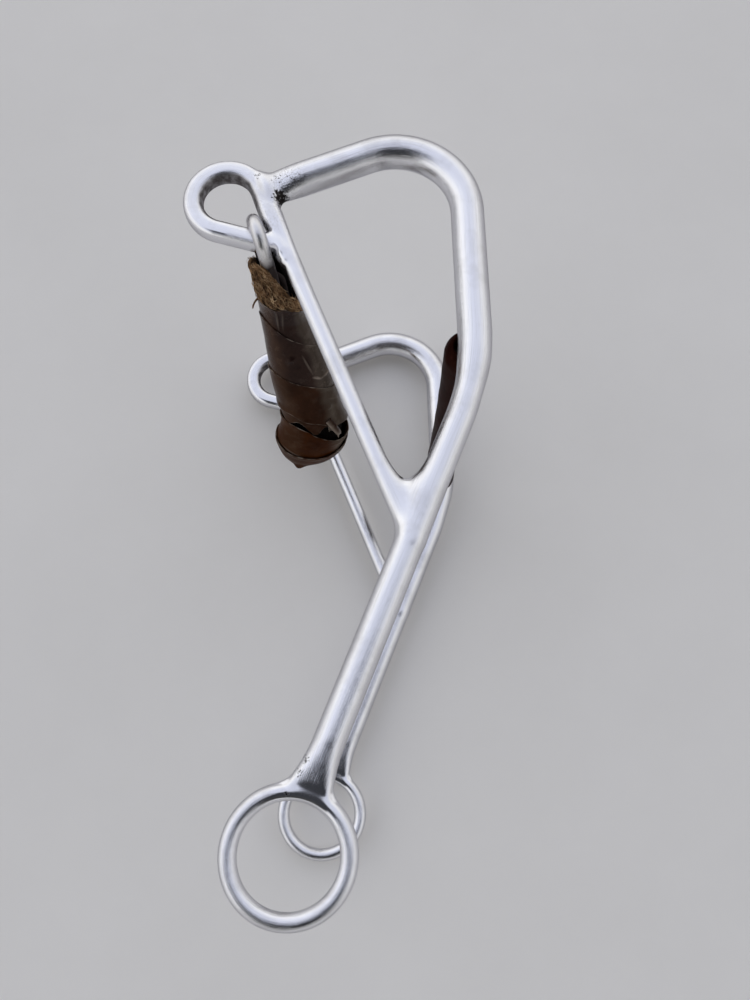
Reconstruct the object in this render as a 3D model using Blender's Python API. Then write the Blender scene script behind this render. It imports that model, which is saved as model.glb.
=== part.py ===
"""Leverage bit with long shanks: two welded rod cheeks, a covered mouthpiece and a padded curb chain.

Metres, +Z up. The bit lies on its left cheek. +Y runs from the rein rings to the headstall bar, +X from
the curb side to the mouthpiece side, and +Z from the left cheek to the right one. The origin is the
bottom centre of the whole part's box.
"""
import math

import bmesh
import bpy
from mathutils import Matrix, Vector

# Clearances
WELD_GAP = 0.0003
CHAIN_PLAY = 0.0005

# Cheek bar: shank, elbow, limb, corner and headstall bar in one bent rod
MOUTH_WIDTH = 0.125
LIMB_DIAMETER = 0.0102
SHANK_DIAMETER = 0.0085
SHANK_LENGTH = 0.1395
SHANK_LEAN = math.radians(22.0)
LIMB_LENGTH = 0.085
LIMB_LEAN = math.radians(1.5)
HEADSTALL_BAR_FALL = math.radians(21.7)
ELBOW_BEND = 0.035
CORNER_BEND = 0.022
ELBOW_BLEND = 0.014

# Rein ring and the flared foot of the shank that is welded to it
RING_BORE = 0.0258
RING_WIRE = 0.0045
RING_FORWARD = 0.0012
FOOT_LENGTH = 0.0135
FOOT_WIDTH = 0.0165
FOOT_EDGE_THICKNESS = 0.0036

# Curb limb: thin rod from the fork up to the eye, bent round and back to itself
CURB_LIMB_DIAMETER = 0.0053
CURB_LIMB_LEAN = math.radians(22.4)
FORK_DROP = 0.0525
CROTCH_RADIUS = 0.0044
FORK_WEB = 0.0048
EYE_ROD_DIAMETER = 0.0058
EYE_BEND = 0.0106
EYE_RISE = 0.0009
EYE_BAR_FALL = math.radians(15.8)

# Mouthpiece: steel bar between the cheeks, with a moulded cover
MOUTH_RISE = 0.0090
MOUTH_SETBACK = 0.0018
MOUTH_BAR_DIAMETER = 0.0080
MOUTH_BAR_SEAT = 0.0015
COVER_END_DIAMETER = 0.0148
COVER_WAIST_DIAMETER = 0.0134
COVER_SHOULDER = 0.0050
COVER_ROUNDING = 0.0018
COVER_END_GAP = 0.0010

# Curb: chain from eye to eye, in a felt sleeve wrapped with tape
HOOK_CLEARANCE = 0.0018
CURB_LEAN = math.radians(18.8)
CURB_REACH = 0.0432
CURB_BEND = 0.020
END_LINK_WIRE = 0.0034
END_LINK_INSIDE = 0.0170
END_LINK_SLACK = 0.0013
CHAIN_WIRE = 0.0022
CHAIN_LINKS = 9
FELT_PLAY = 0.0006
FELT_START = 0.0130
FELT_SLANT = 0.0075
FELT_SLANT_RUN = 0.0180
FELT_END_WALL = 0.0010
FELT_WALL = 0.0034
FELT_FOLD_WALL = 0.0075
FELT_FOLD_REACH = 0.011
TAPE_THICKNESS = 0.0006
TAPE_START = 0.0205
TAPE_BAND = 0.0230
TAPE_TEAR = 0.0015

# Facets of round sections
BAR_SIDES = 12
LINK_SIDES = 8
PAD_SIDES = 16
COVER_SIDES = 20
ARC_STEP = math.radians(14.0)
SHARP_EDGE = math.radians(50.0)
RING_STEPS = 28
FOOT_STEPS = 5
COVER_STEPS = 3
COVER_ROUND_STEPS = 4
FELT_STEPS = 30

# Looks: base colour, roughness, metallic
STEEL = ((0.72, 0.72, 0.75), 0.18, 1.0)
CHAIN_STEEL = ((0.62, 0.61, 0.62), 0.28, 1.0)
HARD_RUBBER = ((0.045, 0.014, 0.011), 0.22, 0.0)
FELT = ((0.115, 0.075, 0.042), 0.95, 0.0)
TAPE = ((0.075, 0.062, 0.050), 0.35, 0.0)

# Points of the cheek's centre line, in its own plane, with the elbow's corner at (0, 0)
CHEEK_SPACING = MOUTH_WIDTH + LIMB_DIAMETER
RING_RADIUS = (RING_BORE + RING_WIRE) / 2
SHANK_DOWN = Vector((-math.sin(SHANK_LEAN), -math.cos(SHANK_LEAN)))
SHANK_FORWARD = Vector((math.cos(SHANK_LEAN), -math.sin(SHANK_LEAN)))
LIMB_UP = Vector((-math.sin(LIMB_LEAN), math.cos(LIMB_LEAN)))
BAR_BACK = Vector((-math.cos(HEADSTALL_BAR_FALL), -math.sin(HEADSTALL_BAR_FALL)))
CURB_LIMB_UP = Vector((-math.sin(CURB_LIMB_LEAN), math.cos(CURB_LIMB_LEAN)))
EYE_BAR_ALONG = Vector((math.cos(EYE_BAR_FALL), -math.sin(EYE_BAR_FALL)))


def cross2(a, b):
    """Signed area of two plane vectors."""
    return a.x * b.y - a.y * b.x


def left_of(direction):
    """Plane vector a quarter turn to the left of direction."""
    return Vector((-direction.y, direction.x))


def turned(vector, angle):
    """Plane vector turned by angle, anticlockwise."""
    return Matrix.Rotation(angle, 2) @ vector


def meeting(point_a, along_a, point_b, along_b):
    """Where two plane lines meet."""
    reach = cross2(point_b - point_a, along_b) / cross2(along_a, along_b)
    return point_a + along_a * reach


def arc(start, centre, angle):
    """Points of an arc from start round centre, without start itself."""
    steps = max(2, math.ceil(abs(angle) / ARC_STEP))
    spoke = start - centre
    return [centre + turned(spoke, angle * i / steps) for i in range(1, steps + 1)]


def rounded_path(corners, bends):
    """Points of a line through plane corners, with each inner corner rounded to its bend."""
    points = [corners[0]]
    for before, corner, after, bend in zip(corners, corners[1:], corners[2:], bends):
        into = (corner - before).normalized()
        out = (after - corner).normalized()
        turn = math.atan2(cross2(into, out), into.dot(out))
        start = corner - into * bend * math.tan(abs(turn) / 2)
        centre = start + left_of(into) * math.copysign(bend, turn)
        points.append(start)
        points.extend(arc(start, centre, turn))
    points.append(corners[-1])
    return points


ELBOW = Vector((0.0, 0.0))
TOP_CORNER = ELBOW + LIMB_UP * LIMB_LENGTH
RING_FOOT = ELBOW + SHANK_DOWN * SHANK_LENGTH
RING_CENTRE = RING_FOOT + SHANK_FORWARD * RING_FORWARD
FORK = ELBOW + SHANK_DOWN * FORK_DROP
FOOT_TOP = RING_FOOT - SHANK_DOWN * (RING_RADIUS + RING_WIRE / 2 + FOOT_LENGTH)
BAR_WELD = meeting(TOP_CORNER, BAR_BACK, FORK, CURB_LIMB_UP)
BAR_END = BAR_WELD - BAR_BACK * EYE_ROD_DIAMETER / 4
EYE_START = BAR_WELD + CURB_LIMB_UP * EYE_RISE
EYE_CENTRE = EYE_START + left_of(CURB_LIMB_UP) * EYE_BEND
EYE_BAR_START = EYE_CENTRE - left_of(EYE_BAR_ALONG) * EYE_BEND
EYE_BAR_END = meeting(EYE_BAR_START, EYE_BAR_ALONG, FORK, CURB_LIMB_UP)
MOUTH_POINT = ELBOW + LIMB_UP * MOUTH_RISE + left_of(LIMB_UP) * MOUTH_SETBACK

# The curb hooks on the eye bar beside the curb limb and hangs in a plane that leans from it
HOOK_SETBACK = (EYE_ROD_DIAMETER + END_LINK_WIRE) / 2 + HOOK_CLEARANCE
HOOK = EYE_BAR_END - EYE_BAR_ALONG * HOOK_SETBACK / abs(cross2(EYE_BAR_ALONG, CURB_LIMB_UP))
CURB_OUT = Vector((math.sin(CURB_LEAN), -math.cos(CURB_LEAN)))

# End link and chain link widths, and the room for them in the felt
END_LINK_WIDTH = EYE_ROD_DIAMETER + 2 * END_LINK_SLACK
CHAIN_WIDTH = END_LINK_WIRE + 2 * CHAIN_PLAY
FELT_BORE = CHAIN_WIDTH / 2 + CHAIN_WIRE + FELT_PLAY
FELT_MOUTH = END_LINK_WIDTH / 2 + END_LINK_WIRE + FELT_PLAY


class Plane:
    """A plane to draw paths on: origin, two axes and their normal."""

    def __init__(self, origin, first, second):
        self.origin = origin
        self.first = first
        self.second = second
        self.normal = first.cross(second)

    def place(self, points):
        """Plane points as space points."""
        return [self.origin + self.first * p.x + self.second * p.y for p in points]


X_AXIS = Vector((1.0, 0.0, 0.0))
Y_AXIS = Vector((0.0, 1.0, 0.0))
Z_AXIS = Vector((0.0, 0.0, 1.0))
ZERO = Vector((0.0, 0.0, 0.0))
CHEEK_PLANE = Plane(ZERO, X_AXIS, Y_AXIS)


def directions(points, closed):
    """Direction of travel at each point of a path."""
    count = len(points)
    result = []
    for i in range(count):
        before = points[i - 1] if closed or i > 0 else points[i]
        after = points[(i + 1) % count] if closed or i < count - 1 else points[i]
        result.append((after - before).normalized())
    return result


def sections(points, normal, sizes, sides, closed=False, skews=None):
    """Rings of points round a flat path: half width across the path and half depth along normal."""
    rings = []
    for i, (point, along) in enumerate(zip(points, directions(points, closed))):
        across = normal.cross(along).normalized()
        half_width, half_depth = sizes[i]
        skew = skews[i] if skews else 0.0
        ring = []
        for k in range(sides):
            angle = math.tau * (k + 0.5) / sides
            lift = math.sin(angle)
            ring.append(point + across * half_width * math.cos(angle) + normal * half_depth * lift
                        + along * skew * lift)
        rings.append(ring)
    return rings


def loft(name, rings, closed):
    """Mesh object through rings of equal count: a loop if closed, else capped at both ends."""
    bm = bmesh.new()
    loops = [[bm.verts.new(p) for p in ring] for ring in rings]
    pairs = list(zip(loops, loops[1:]))
    if closed:
        pairs.append((loops[-1], loops[0]))
    else:
        bm.faces.new(loops[0])
        bm.faces.new(loops[-1])
    for low, high in pairs:
        for k in range(len(low)):
            nxt = (k + 1) % len(low)
            bm.faces.new((low[k], low[nxt], high[nxt], high[k]))
    bmesh.ops.recalc_face_normals(bm, faces=bm.faces)
    mesh = bpy.data.meshes.new(name)
    bm.to_mesh(mesh)
    bm.free()
    mesh.shade_smooth()
    mesh.set_sharp_from_angle(angle=SHARP_EDGE)
    obj = bpy.data.objects.new(name, mesh)
    bpy.context.scene.collection.objects.link(obj)
    return obj


def prism(name, outline, half_depth):
    """Flat outline on the cheek's plane, given a thickness."""
    rings = [[Vector((p.x, p.y, z)) for p in outline] for z in (-half_depth, half_depth)]
    return loft(name, rings, closed=False)


def finish(obj, parent, look):
    """Give a node its parent and its own material."""
    colour, roughness, metallic = look
    obj.parent = parent
    material = bpy.data.materials.new(obj.name)
    material.use_nodes = True
    shader = material.node_tree.nodes["Principled BSDF"]
    shader.inputs["Base Color"].default_value = (*colour, 1.0)
    shader.inputs["Roughness"].default_value = roughness
    shader.inputs["Metallic"].default_value = metallic
    obj.data.materials.append(material)
    return obj


def guide(obj, parent):
    """Keep an object as a cutter only."""
    obj.parent = parent
    obj.hide_render = True
    obj.display_type = "WIRE"
    return obj


def boolean(obj, tool, operation):
    """Cut obj by tool, or join tool to it."""
    modifier = obj.modifiers.new(tool.name, "BOOLEAN")
    modifier.operation = operation
    modifier.solver = "EXACT"
    modifier.use_self = operation == "UNION"
    modifier.object = tool


def empty(name, parent, location):
    """Named point that pieces are parented to."""
    obj = bpy.data.objects.new(name, None)
    bpy.context.scene.collection.objects.link(obj)
    obj.parent = parent
    obj.location = location
    return obj


def round_sizes(radii):
    """Equal half sizes for round sections."""
    return [(r, r) for r in radii]


def cheek_bar_rings(corners, bends, extra):
    """Sections of the cheek bar through corners, thinner below the elbow, grown by extra all round."""
    path = rounded_path(corners, bends)
    limb = LIMB_DIAMETER / 2 + extra
    shank = SHANK_DIAMETER / 2 + extra
    radii = []
    for point in path:
        bent = min(max(0.5 - point.dot(SHANK_DOWN) / ELBOW_BLEND, 0.0), 1.0)
        radii.append(shank + (limb - shank) * bent)
    return sections(CHEEK_PLANE.place(path), Z_AXIS, round_sizes(radii), BAR_SIDES)


def foot_rings():
    """Sections of the shank's foot, spreading and thinning down to the middle of the ring's wire."""
    top = RING_RADIUS + RING_WIRE / 2 + FOOT_LENGTH
    bottom = math.sqrt(RING_RADIUS ** 2 - (FOOT_WIDTH / 4) ** 2)
    points = []
    sizes = []
    for i in range(FOOT_STEPS):
        rise = i / FOOT_STEPS
        centre = RING_CENTRE.lerp(RING_FOOT, math.sqrt(rise))
        points.append(centre - SHANK_DOWN * (bottom + (top - bottom) * rise))
        width = SHANK_DIAMETER + (FOOT_WIDTH - SHANK_DIAMETER) * (1.0 - rise) ** 2
        thickness = SHANK_DIAMETER + (FOOT_EDGE_THICKNESS - SHANK_DIAMETER) * (1.0 - rise) ** 1.5
        sizes.append((width / 2, thickness / 2))
    return sections(CHEEK_PLANE.place(points), Z_AXIS, sizes, BAR_SIDES)


def ring_rings(extra):
    """Sections of the rein ring's wire, grown by extra all round."""
    spokes = [turned(Vector((RING_RADIUS, 0.0)), math.tau * i / RING_STEPS) for i in range(RING_STEPS)]
    points = CHEEK_PLANE.place([RING_CENTRE + spoke for spoke in spokes])
    radius = RING_WIRE / 2 + extra
    return sections(points, Z_AXIS, round_sizes([radius] * RING_STEPS), BAR_SIDES, closed=True)


def curb_limb_rings():
    """Sections of the curb limb's rod: up from the fork, round the eye and back to the limb."""
    sweep = math.tau - EYE_BAR_FALL - (math.pi / 2 + CURB_LIMB_LEAN)
    eye = arc(EYE_START, EYE_CENTRE, sweep)
    path = [FORK, EYE_BAR_END, EYE_START] + eye + [EYE_BAR_END]
    radii = [CURB_LIMB_DIAMETER / 2] * 2 + [EYE_ROD_DIAMETER / 2] * (len(path) - 2)
    return sections(CHEEK_PLANE.place(path), Z_AXIS, round_sizes(radii), BAR_SIDES)


def weld_clearance_rings():
    """Sections just larger than the curb limb where the headstall bar's end is shaped to it."""
    reach = CURB_LIMB_UP * LIMB_DIAMETER
    path = CHEEK_PLANE.place([BAR_WELD - reach, BAR_WELD + reach])
    radius = EYE_ROD_DIAMETER / 2 + WELD_GAP
    return sections(path, Z_AXIS, round_sizes([radius] * 2), BAR_SIDES)


def crotch_outline():
    """Web in the fork, between the two rods' axes, hollowed by the crotch's round."""
    limb_reach = CROTCH_RADIUS + CURB_LIMB_DIAMETER / 2
    shank_reach = CROTCH_RADIUS + SHANK_DIAMETER / 2
    centre = meeting(FORK - left_of(CURB_LIMB_UP) * limb_reach, CURB_LIMB_UP,
                     FORK - left_of(SHANK_DOWN) * shank_reach, SHANK_DOWN)
    to_limb = left_of(CURB_LIMB_UP)
    to_shank = left_of(SHANK_DOWN)
    start = centre + to_shank * CROTCH_RADIUS
    turn = -math.acos(to_shank.dot(to_limb))
    round_points = [start] + arc(start, centre, turn)
    return [FORK, centre + to_shank * shank_reach] + round_points + [centre + to_limb * limb_reach]


def build_cheek(side, plane):
    """One welded cheek: bent bar, curb limb with its eye, and rein ring."""
    straight = cheek_bar_rings([FOOT_TOP, ELBOW, TOP_CORNER], [ELBOW_BEND], WELD_GAP)
    bar_gap = guide(loft(side + "_bar_clearance", straight, False), plane)
    weld_gap = guide(loft(side + "_weld_clearance", weld_clearance_rings(), False), plane)
    ring_gap = guide(loft(side + "_ring_clearance", ring_rings(WELD_GAP), True), plane)
    web = guide(prism(side + "_fork_web", crotch_outline(), FORK_WEB / 2), plane)

    corners = [FOOT_TOP, ELBOW, TOP_CORNER, BAR_END]
    rings = foot_rings() + cheek_bar_rings(corners, [ELBOW_BEND, CORNER_BEND], 0.0)
    bar = finish(loft(side + "_cheek_bar", rings, False), plane, STEEL)
    boolean(bar, ring_gap, "DIFFERENCE")
    boolean(bar, weld_gap, "DIFFERENCE")
    limb = finish(loft(side + "_curb_limb", curb_limb_rings(), False), plane, STEEL)
    boolean(limb, web, "UNION")
    boolean(limb, bar_gap, "DIFFERENCE")
    finish(loft(side + "_rein_ring", ring_rings(0.0), True), plane, STEEL)
    return bar_gap


def turned_profile(profile):
    """Round sections up the mouthpiece's axis from pairs of height and radius."""
    rings = []
    for height, radius in profile:
        ring = []
        for k in range(COVER_SIDES):
            angle = math.tau * (k + 0.5) / COVER_SIDES
            ring.append(Vector((radius * math.cos(angle), radius * math.sin(angle), height)))
        rings.append(ring)
    return rings


def cover_profile(end, bore):
    """Upper half of the cover's outline: waist, swelling end and rounded shoulder."""
    full = COVER_END_DIAMETER / 2
    waist = COVER_WAIST_DIAMETER / 2
    profile = []
    for i in range(COVER_STEPS + 1):
        share = i / COVER_STEPS
        profile.append(((end - COVER_SHOULDER) * share, waist + (full - waist) * share ** 2))
    rounding = min(COVER_ROUNDING, (full - bore) / 2)
    for i in range(1, COVER_ROUND_STEPS + 1):
        angle = math.pi / 2 * i / COVER_ROUND_STEPS
        inset = rounding * (1.0 - math.cos(angle))
        profile.append((end - COVER_SHOULDER * (1.0 - math.sin(angle)), full - inset))
    return profile


def build_mouthpiece(place, bar_gaps):
    """Steel bar welded between the limbs, in a moulded cover with rounded ends and a slight waist."""
    half = MOUTH_WIDTH / 2
    bar_half = half + MOUTH_BAR_SEAT
    bar_radius = MOUTH_BAR_DIAMETER / 2
    bar = loft("mouthpiece_bar", turned_profile([(-bar_half, bar_radius), (bar_half, bar_radius)]), False)
    finish(bar, place, STEEL)
    for gap in bar_gaps:
        boolean(bar, gap, "DIFFERENCE")

    end = half - COVER_END_GAP
    bore = bar_radius + WELD_GAP
    upper = cover_profile(end, bore)
    lower = [(-z, r) for z, r in reversed(upper[1:])]
    outer = turned_profile(lower + upper)
    inner = turned_profile([(end, bore), (-end, bore)])
    finish(loft("mouthpiece_cover", outer + inner, True), place, HARD_RUBBER)


def link_mesh(name, inside_length, inside_width, wire):
    """Oval chain link, long along X, flat in the XY plane."""
    bend = (inside_width + wire) / 2
    straight = (inside_length - inside_width) / 2
    right = Vector((straight, -bend))
    left = Vector((-straight, bend))
    path = [right] + arc(right, Vector((straight, 0.0)), math.pi)
    path += [left] + arc(left, Vector((-straight, 0.0)), math.pi)
    radii = round_sizes([wire / 2] * len(path))
    return loft(name, sections(CHEEK_PLANE.place(path), Z_AXIS, radii, LINK_SIDES, closed=True), True)


class CurbLine:
    """Centre line of the curb, from hook to hook in its own plane, measured along its length."""

    def __init__(self):
        half = CHEEK_SPACING / 2
        corners = [Vector((0.0, half)), Vector((CURB_REACH, 0.0)), Vector((0.0, -half))]
        self.points = rounded_path(corners, [CURB_BEND])
        self.stations = [0.0]
        for a, b in zip(self.points, self.points[1:]):
            self.stations.append(self.stations[-1] + (b - a).length)
        self.length = self.stations[-1]

    def at(self, station):
        """Plane point at a length along the line, which runs on straight past both hooks."""
        i = 0
        while i < len(self.points) - 2 and self.stations[i + 1] < station:
            i += 1
        share = (station - self.stations[i]) / (self.stations[i + 1] - self.stations[i])
        return self.points[i] + (self.points[i + 1] - self.points[i]) * share


def curb_plane(pivot):
    """Plane of the curb's line, with its origin at the hook, as seen from a pivot on the cheek's plane."""
    return Plane((HOOK - pivot).to_3d(), CURB_OUT.to_3d(), Z_AXIS)


def place_link(obj, plane, line, span, flat):
    """Lay a link along the line from one hooking point to the next, flat or on edge."""
    first, last = plane.place([line.at(station) for station in span])
    along = (last - first).normalized()
    sideways = plane.normal.cross(along)
    if flat:
        axes = (along, sideways, plane.normal)
    else:
        axes = (along, plane.normal, -sideways)
    turn = Matrix(axes).transposed().to_4x4()
    obj.matrix_basis = Matrix.Translation((first + last) / 2) @ turn


def end_link_span():
    """Where the wire of an end link's two bends lies along the line, with one bend behind the eye bar."""
    top = -(EYE_ROD_DIAMETER + END_LINK_WIRE) / 2 - END_LINK_SLACK
    return top, top + END_LINK_INSIDE + END_LINK_WIRE


def chain_spans(line):
    """Where the wire of each chain link's two bends lies along the line, hooked wire to wire."""
    first = end_link_span()[1] - (END_LINK_WIRE + CHAIN_WIRE) / 2 - CHAIN_PLAY
    hold = CHAIN_WIRE + CHAIN_PLAY
    span = (line.length - 2 * first + (CHAIN_LINKS - 1) * hold) / CHAIN_LINKS
    starts = [first + i * (span - hold) for i in range(CHAIN_LINKS)]
    return [(start, start + span) for start in starts]


def felt_stations(line):
    """Even stations of the felt's sections, from end to end."""
    length = line.length - 2 * FELT_START
    return [FELT_START + length * i / FELT_STEPS for i in range(FELT_STEPS + 1)]


def felt_sizes(line, station):
    """Half depth in the fold's plane and half width across it, of the felt and of its bore."""
    inward = min(station, line.length - station) - end_link_span()[1] - END_LINK_WIRE
    mouth = min(max(1.0 - inward / FELT_MOUTH, 0.0), 1.0)
    bore_depth = FELT_BORE + (FELT_MOUTH - FELT_BORE) * mouth
    middle = line.length / 2
    away = abs(station - middle)
    share = min(away / (middle - FELT_START), 1.0)
    wall = FELT_WALL + (FELT_END_WALL - FELT_WALL) * share ** 2
    fold = math.exp(-(away / FELT_FOLD_REACH) ** 2)
    side_wall = wall + (FELT_FOLD_WALL - wall) * fold
    return (bore_depth + wall, FELT_BORE + side_wall), (bore_depth, FELT_BORE)


def slant(line, station):
    """How far a section of the sleeve leans along the line: most at the felt's ends."""
    from_start = station - FELT_START
    from_end = line.length - FELT_START - station
    start_share = max(0.0, 1.0 - from_start / FELT_SLANT_RUN)
    end_share = max(0.0, 1.0 - from_end / FELT_SLANT_RUN)
    return FELT_SLANT * (end_share - start_share)


def sleeve(name, plane, line, stations, outside, inside):
    """Hollow sleeve along the curb's line: half sizes outside and inside, ends cut on a slant."""
    points = plane.place([line.at(station) for station in stations])
    skews = [slant(line, station) for station in stations]
    outer = sections(points, plane.normal, outside, PAD_SIDES, skews=skews)
    inner = sections(points, plane.normal, inside, PAD_SIDES, skews=skews)
    return loft(name, outer + inner[::-1], True)


def tape_sleeve(name, plane, line, start, end):
    """Layer of tape over the felt between two stations, with its sections on the felt's own."""
    shared = [s for s in felt_stations(line) if start + WELD_GAP < s < end - WELD_GAP]
    stations = [start] + shared + [end]
    felt = [felt_sizes(line, station)[0] for station in stations]
    inside = [(depth + WELD_GAP, width + WELD_GAP) for depth, width in felt]
    outside = [(depth + TAPE_THICKNESS, width + TAPE_THICKNESS) for depth, width in inside]
    return sleeve(name, plane, line, stations, outside, inside)


def build_end_links(place, pivot, line):
    """Oval links that hook the curb to the eye bars."""
    plane = curb_plane(pivot)
    top, bottom = end_link_span()
    spans = {"right": (top, bottom), "left": (line.length - bottom, line.length - top)}
    for side, span in spans.items():
        link = link_mesh(side + "_end_link", END_LINK_INSIDE, END_LINK_WIDTH, END_LINK_WIRE)
        place_link(finish(link, place, CHAIN_STEEL), plane, line, span, flat=True)


def build_curb(place, pivot, line):
    """Chain between the end links, felt sleeve round it and tape round the felt."""
    plane = curb_plane(pivot)
    for i, (start, end) in enumerate(chain_spans(line), 1):
        link = link_mesh("chain_link_" + str(i), end - start - CHAIN_WIRE, CHAIN_WIDTH, CHAIN_WIRE)
        place_link(finish(link, place, CHAIN_STEEL), plane, line, (start, end), flat=i % 2 == 0)

    stations = felt_stations(line)
    outside = [felt_sizes(line, station)[0] for station in stations]
    inside = [felt_sizes(line, station)[1] for station in stations]
    finish(sleeve("felt_sleeve", plane, line, stations, outside, inside), place, FELT)

    middle = line.length / 2
    band = TAPE_BAND / 2
    tear = middle - band - TAPE_TEAR
    stretches = {
        "right_tape_wrap": (TAPE_START, tear),
        "left_tape_wrap": (line.length - tear, line.length - TAPE_START),
        "centre_tape_band": (middle - band, middle + band),
    }
    for name, (start, end) in stretches.items():
        finish(tape_sleeve(name, plane, line, start, end), place, TAPE)


def nodes():
    """The part's solids, without cutters."""
    return [o for o in bpy.data.objects if o.type == "MESH" and not o.hide_render]


def world_corners():
    """Lowest and highest corner of all solids as built."""
    bpy.context.view_layer.update()
    graph = bpy.context.evaluated_depsgraph_get()
    points = []
    for obj in nodes():
        shape = obj.evaluated_get(graph)
        points.extend(shape.matrix_world @ v.co for v in shape.data.vertices)
    low = Vector([min(p[i] for p in points) for i in range(3)])
    high = Vector([max(p[i] for p in points) for i in range(3)])
    return low, high


def main():
    """Build the whole bit and set its origin at the bottom centre of its box."""
    for obj in list(bpy.data.objects):
        bpy.data.objects.remove(obj, do_unlink=True)
    bit = empty("bit", None, ZERO)
    half = CHEEK_SPACING / 2
    right = empty("right_cheek", bit, Z_AXIS * half)
    left = empty("left_cheek", bit, Z_AXIS * -half)
    gaps = [build_cheek("right", right), build_cheek("left", left)]
    build_mouthpiece(empty("mouthpiece", bit, MOUTH_POINT.to_3d()), gaps)
    line = CurbLine()
    top, bottom = end_link_span()
    hooked = chain_spans(line)[0][0]
    swing_axis = HOOK + CURB_OUT * line.at(top - END_LINK_WIRE / 2).x
    fold_axis = HOOK + CURB_OUT * line.at((bottom + hooked) / 2).x
    build_end_links(empty("end_link_pivot", bit, swing_axis.to_3d()), swing_axis, line)
    build_curb(empty("curb_pivot", bit, fold_axis.to_3d()), fold_axis, line)
    low, high = world_corners()
    bit.location = Vector((-(low.x + high.x) / 2, -(low.y + high.y) / 2, -low.z))
    bpy.context.view_layer.update()


main()
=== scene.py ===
"""Looks of a long-shanked leverage bit: welded rod cheeks, a covered mouthpiece and a padded curb.

Metres, +Z up, in the frame of the solids. The bit lies on its left cheek, with +Y from the rein rings to
the headstall bars and +X from the curb to the mouthpiece.
"""
import math

import bpy
import numpy as np
from mathutils import Matrix, Vector


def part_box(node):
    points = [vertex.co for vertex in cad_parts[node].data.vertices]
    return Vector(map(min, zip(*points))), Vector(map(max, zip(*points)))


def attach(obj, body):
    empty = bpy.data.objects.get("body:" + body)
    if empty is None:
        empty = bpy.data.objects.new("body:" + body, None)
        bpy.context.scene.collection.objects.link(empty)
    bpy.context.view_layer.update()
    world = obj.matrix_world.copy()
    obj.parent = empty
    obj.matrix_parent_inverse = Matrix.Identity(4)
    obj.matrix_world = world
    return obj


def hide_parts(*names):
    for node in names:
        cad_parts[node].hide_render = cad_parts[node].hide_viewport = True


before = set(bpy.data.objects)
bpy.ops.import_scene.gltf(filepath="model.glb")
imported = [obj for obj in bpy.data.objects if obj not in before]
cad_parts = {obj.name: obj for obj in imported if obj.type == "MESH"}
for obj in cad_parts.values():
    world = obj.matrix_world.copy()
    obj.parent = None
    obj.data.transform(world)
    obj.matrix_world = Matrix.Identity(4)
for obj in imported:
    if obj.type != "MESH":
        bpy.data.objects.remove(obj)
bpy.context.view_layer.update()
RNG = np.random.default_rng(7)

# Bent rod of a cheek: shank, elbow, limb, corner and headstall bar
LIMB_DIAMETER = 0.0102
SHANK_DIAMETER = 0.0085
SHANK_LENGTH = 0.1395
SHANK_LEAN = math.radians(22.0)
LIMB_LENGTH = 0.085
LIMB_LEAN = math.radians(1.5)
HEADSTALL_BAR_FALL = math.radians(21.7)
ELBOW_BEND = 0.075
CORNER_BEND = 0.022
ELBOW_BLEND = 0.014

# Rein ring, and the shank's foot that thins down to it
RING_BORE = 0.0258
RING_WIRE = 0.0047
RING_FORWARD = 0.0012
FOOT_TOP = 0.0310
FOOT_THICKNESS = 0.0047
FOOT_RUN_ON = 0.0020
FOOT_SQUARENESS = 3.0
FOOT_SPREAD = 0.0046
FOOT_FLARE_TOP = 0.0280
FOOT_FLARE_RUN = 0.0130
FOOT_FILLET = 0.0030
FOOT_OVERLAP = 0.0016
FOOT_ROUNDING = 0.0016
RING_WELD = 0.0010

# Curb limb with its eye, and the welds that blend the rods
CURB_LIMB_DIAMETER = 0.0053
CURB_LIMB_LEAN = math.radians(22.4)
FORK_DROP = 0.0525
EYE_ROD_DIAMETER = 0.0058
EYE_BEND = 0.0106
EYE_RISE = 0.0009
EYE_BAR_FALL = math.radians(15.8)
EYE_LAP_LENGTH = 0.0058
EYE_LAP_BEND = 0.0060
EYE_LAP_OFFSET = 0.0021
EYE_LAP_THINNING = 0.345
EYE_LAP_CLOSING = 0.0004
EYE_LAP_TIP = 0.18
EYE_LAP_SINK = 0.26
EYE_SQUARENESS = 2.7
EYE_FULLNESS = 0.0003
WELD_FULLNESS = 0.0005
WELD_FULL_DROP = 0.0085
WELD_FULL_REACH = 0.014
FORK_FILLET = 0.0125
FORK_NOTCH = 0.0030
FORK_RISE = 0.0160
FORK_SET = 0.0020
FORK_MIDDLE = 0.011
FORK_REACH = 0.012
WEB_WIDTH = 0.0084
WEB_TAPER = 0.0090
WEB_SET = 0.0026
WEB_THICKNESS = 0.0058
WEB_FLATTENING = 0.0150
BAR_WELD_FILLET = 0.0060
BAR_WELD_REACH = 0.016
EYE_WELD_FILLET = 0.0042
EYE_LAP_WELD = 0.0019
EYE_WELD_REACH = 0.0090
EYE_LAP_REACH = 0.014
CHEEK_MESH_PITCH = 0.00055
SEAM_WIDTH = 0.0028
SEAM_FADE = 0.0021

# Mouthpiece
MOUTH_WIDTH = 0.125
MOUTH_RISE = 0.0090
MOUTH_SETBACK = 0.0018
MOUTH_BAR_DIAMETER = 0.0080
COVER_END_DIAMETER = 0.0132
COVER_WAIST_DIAMETER = 0.0116
COVER_SHOULDER = 0.0055
COVER_ROUNDING = 0.0028
COVER_OVERLAP = 0.0042
COVER_SETBACK = 0.0005

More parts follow.
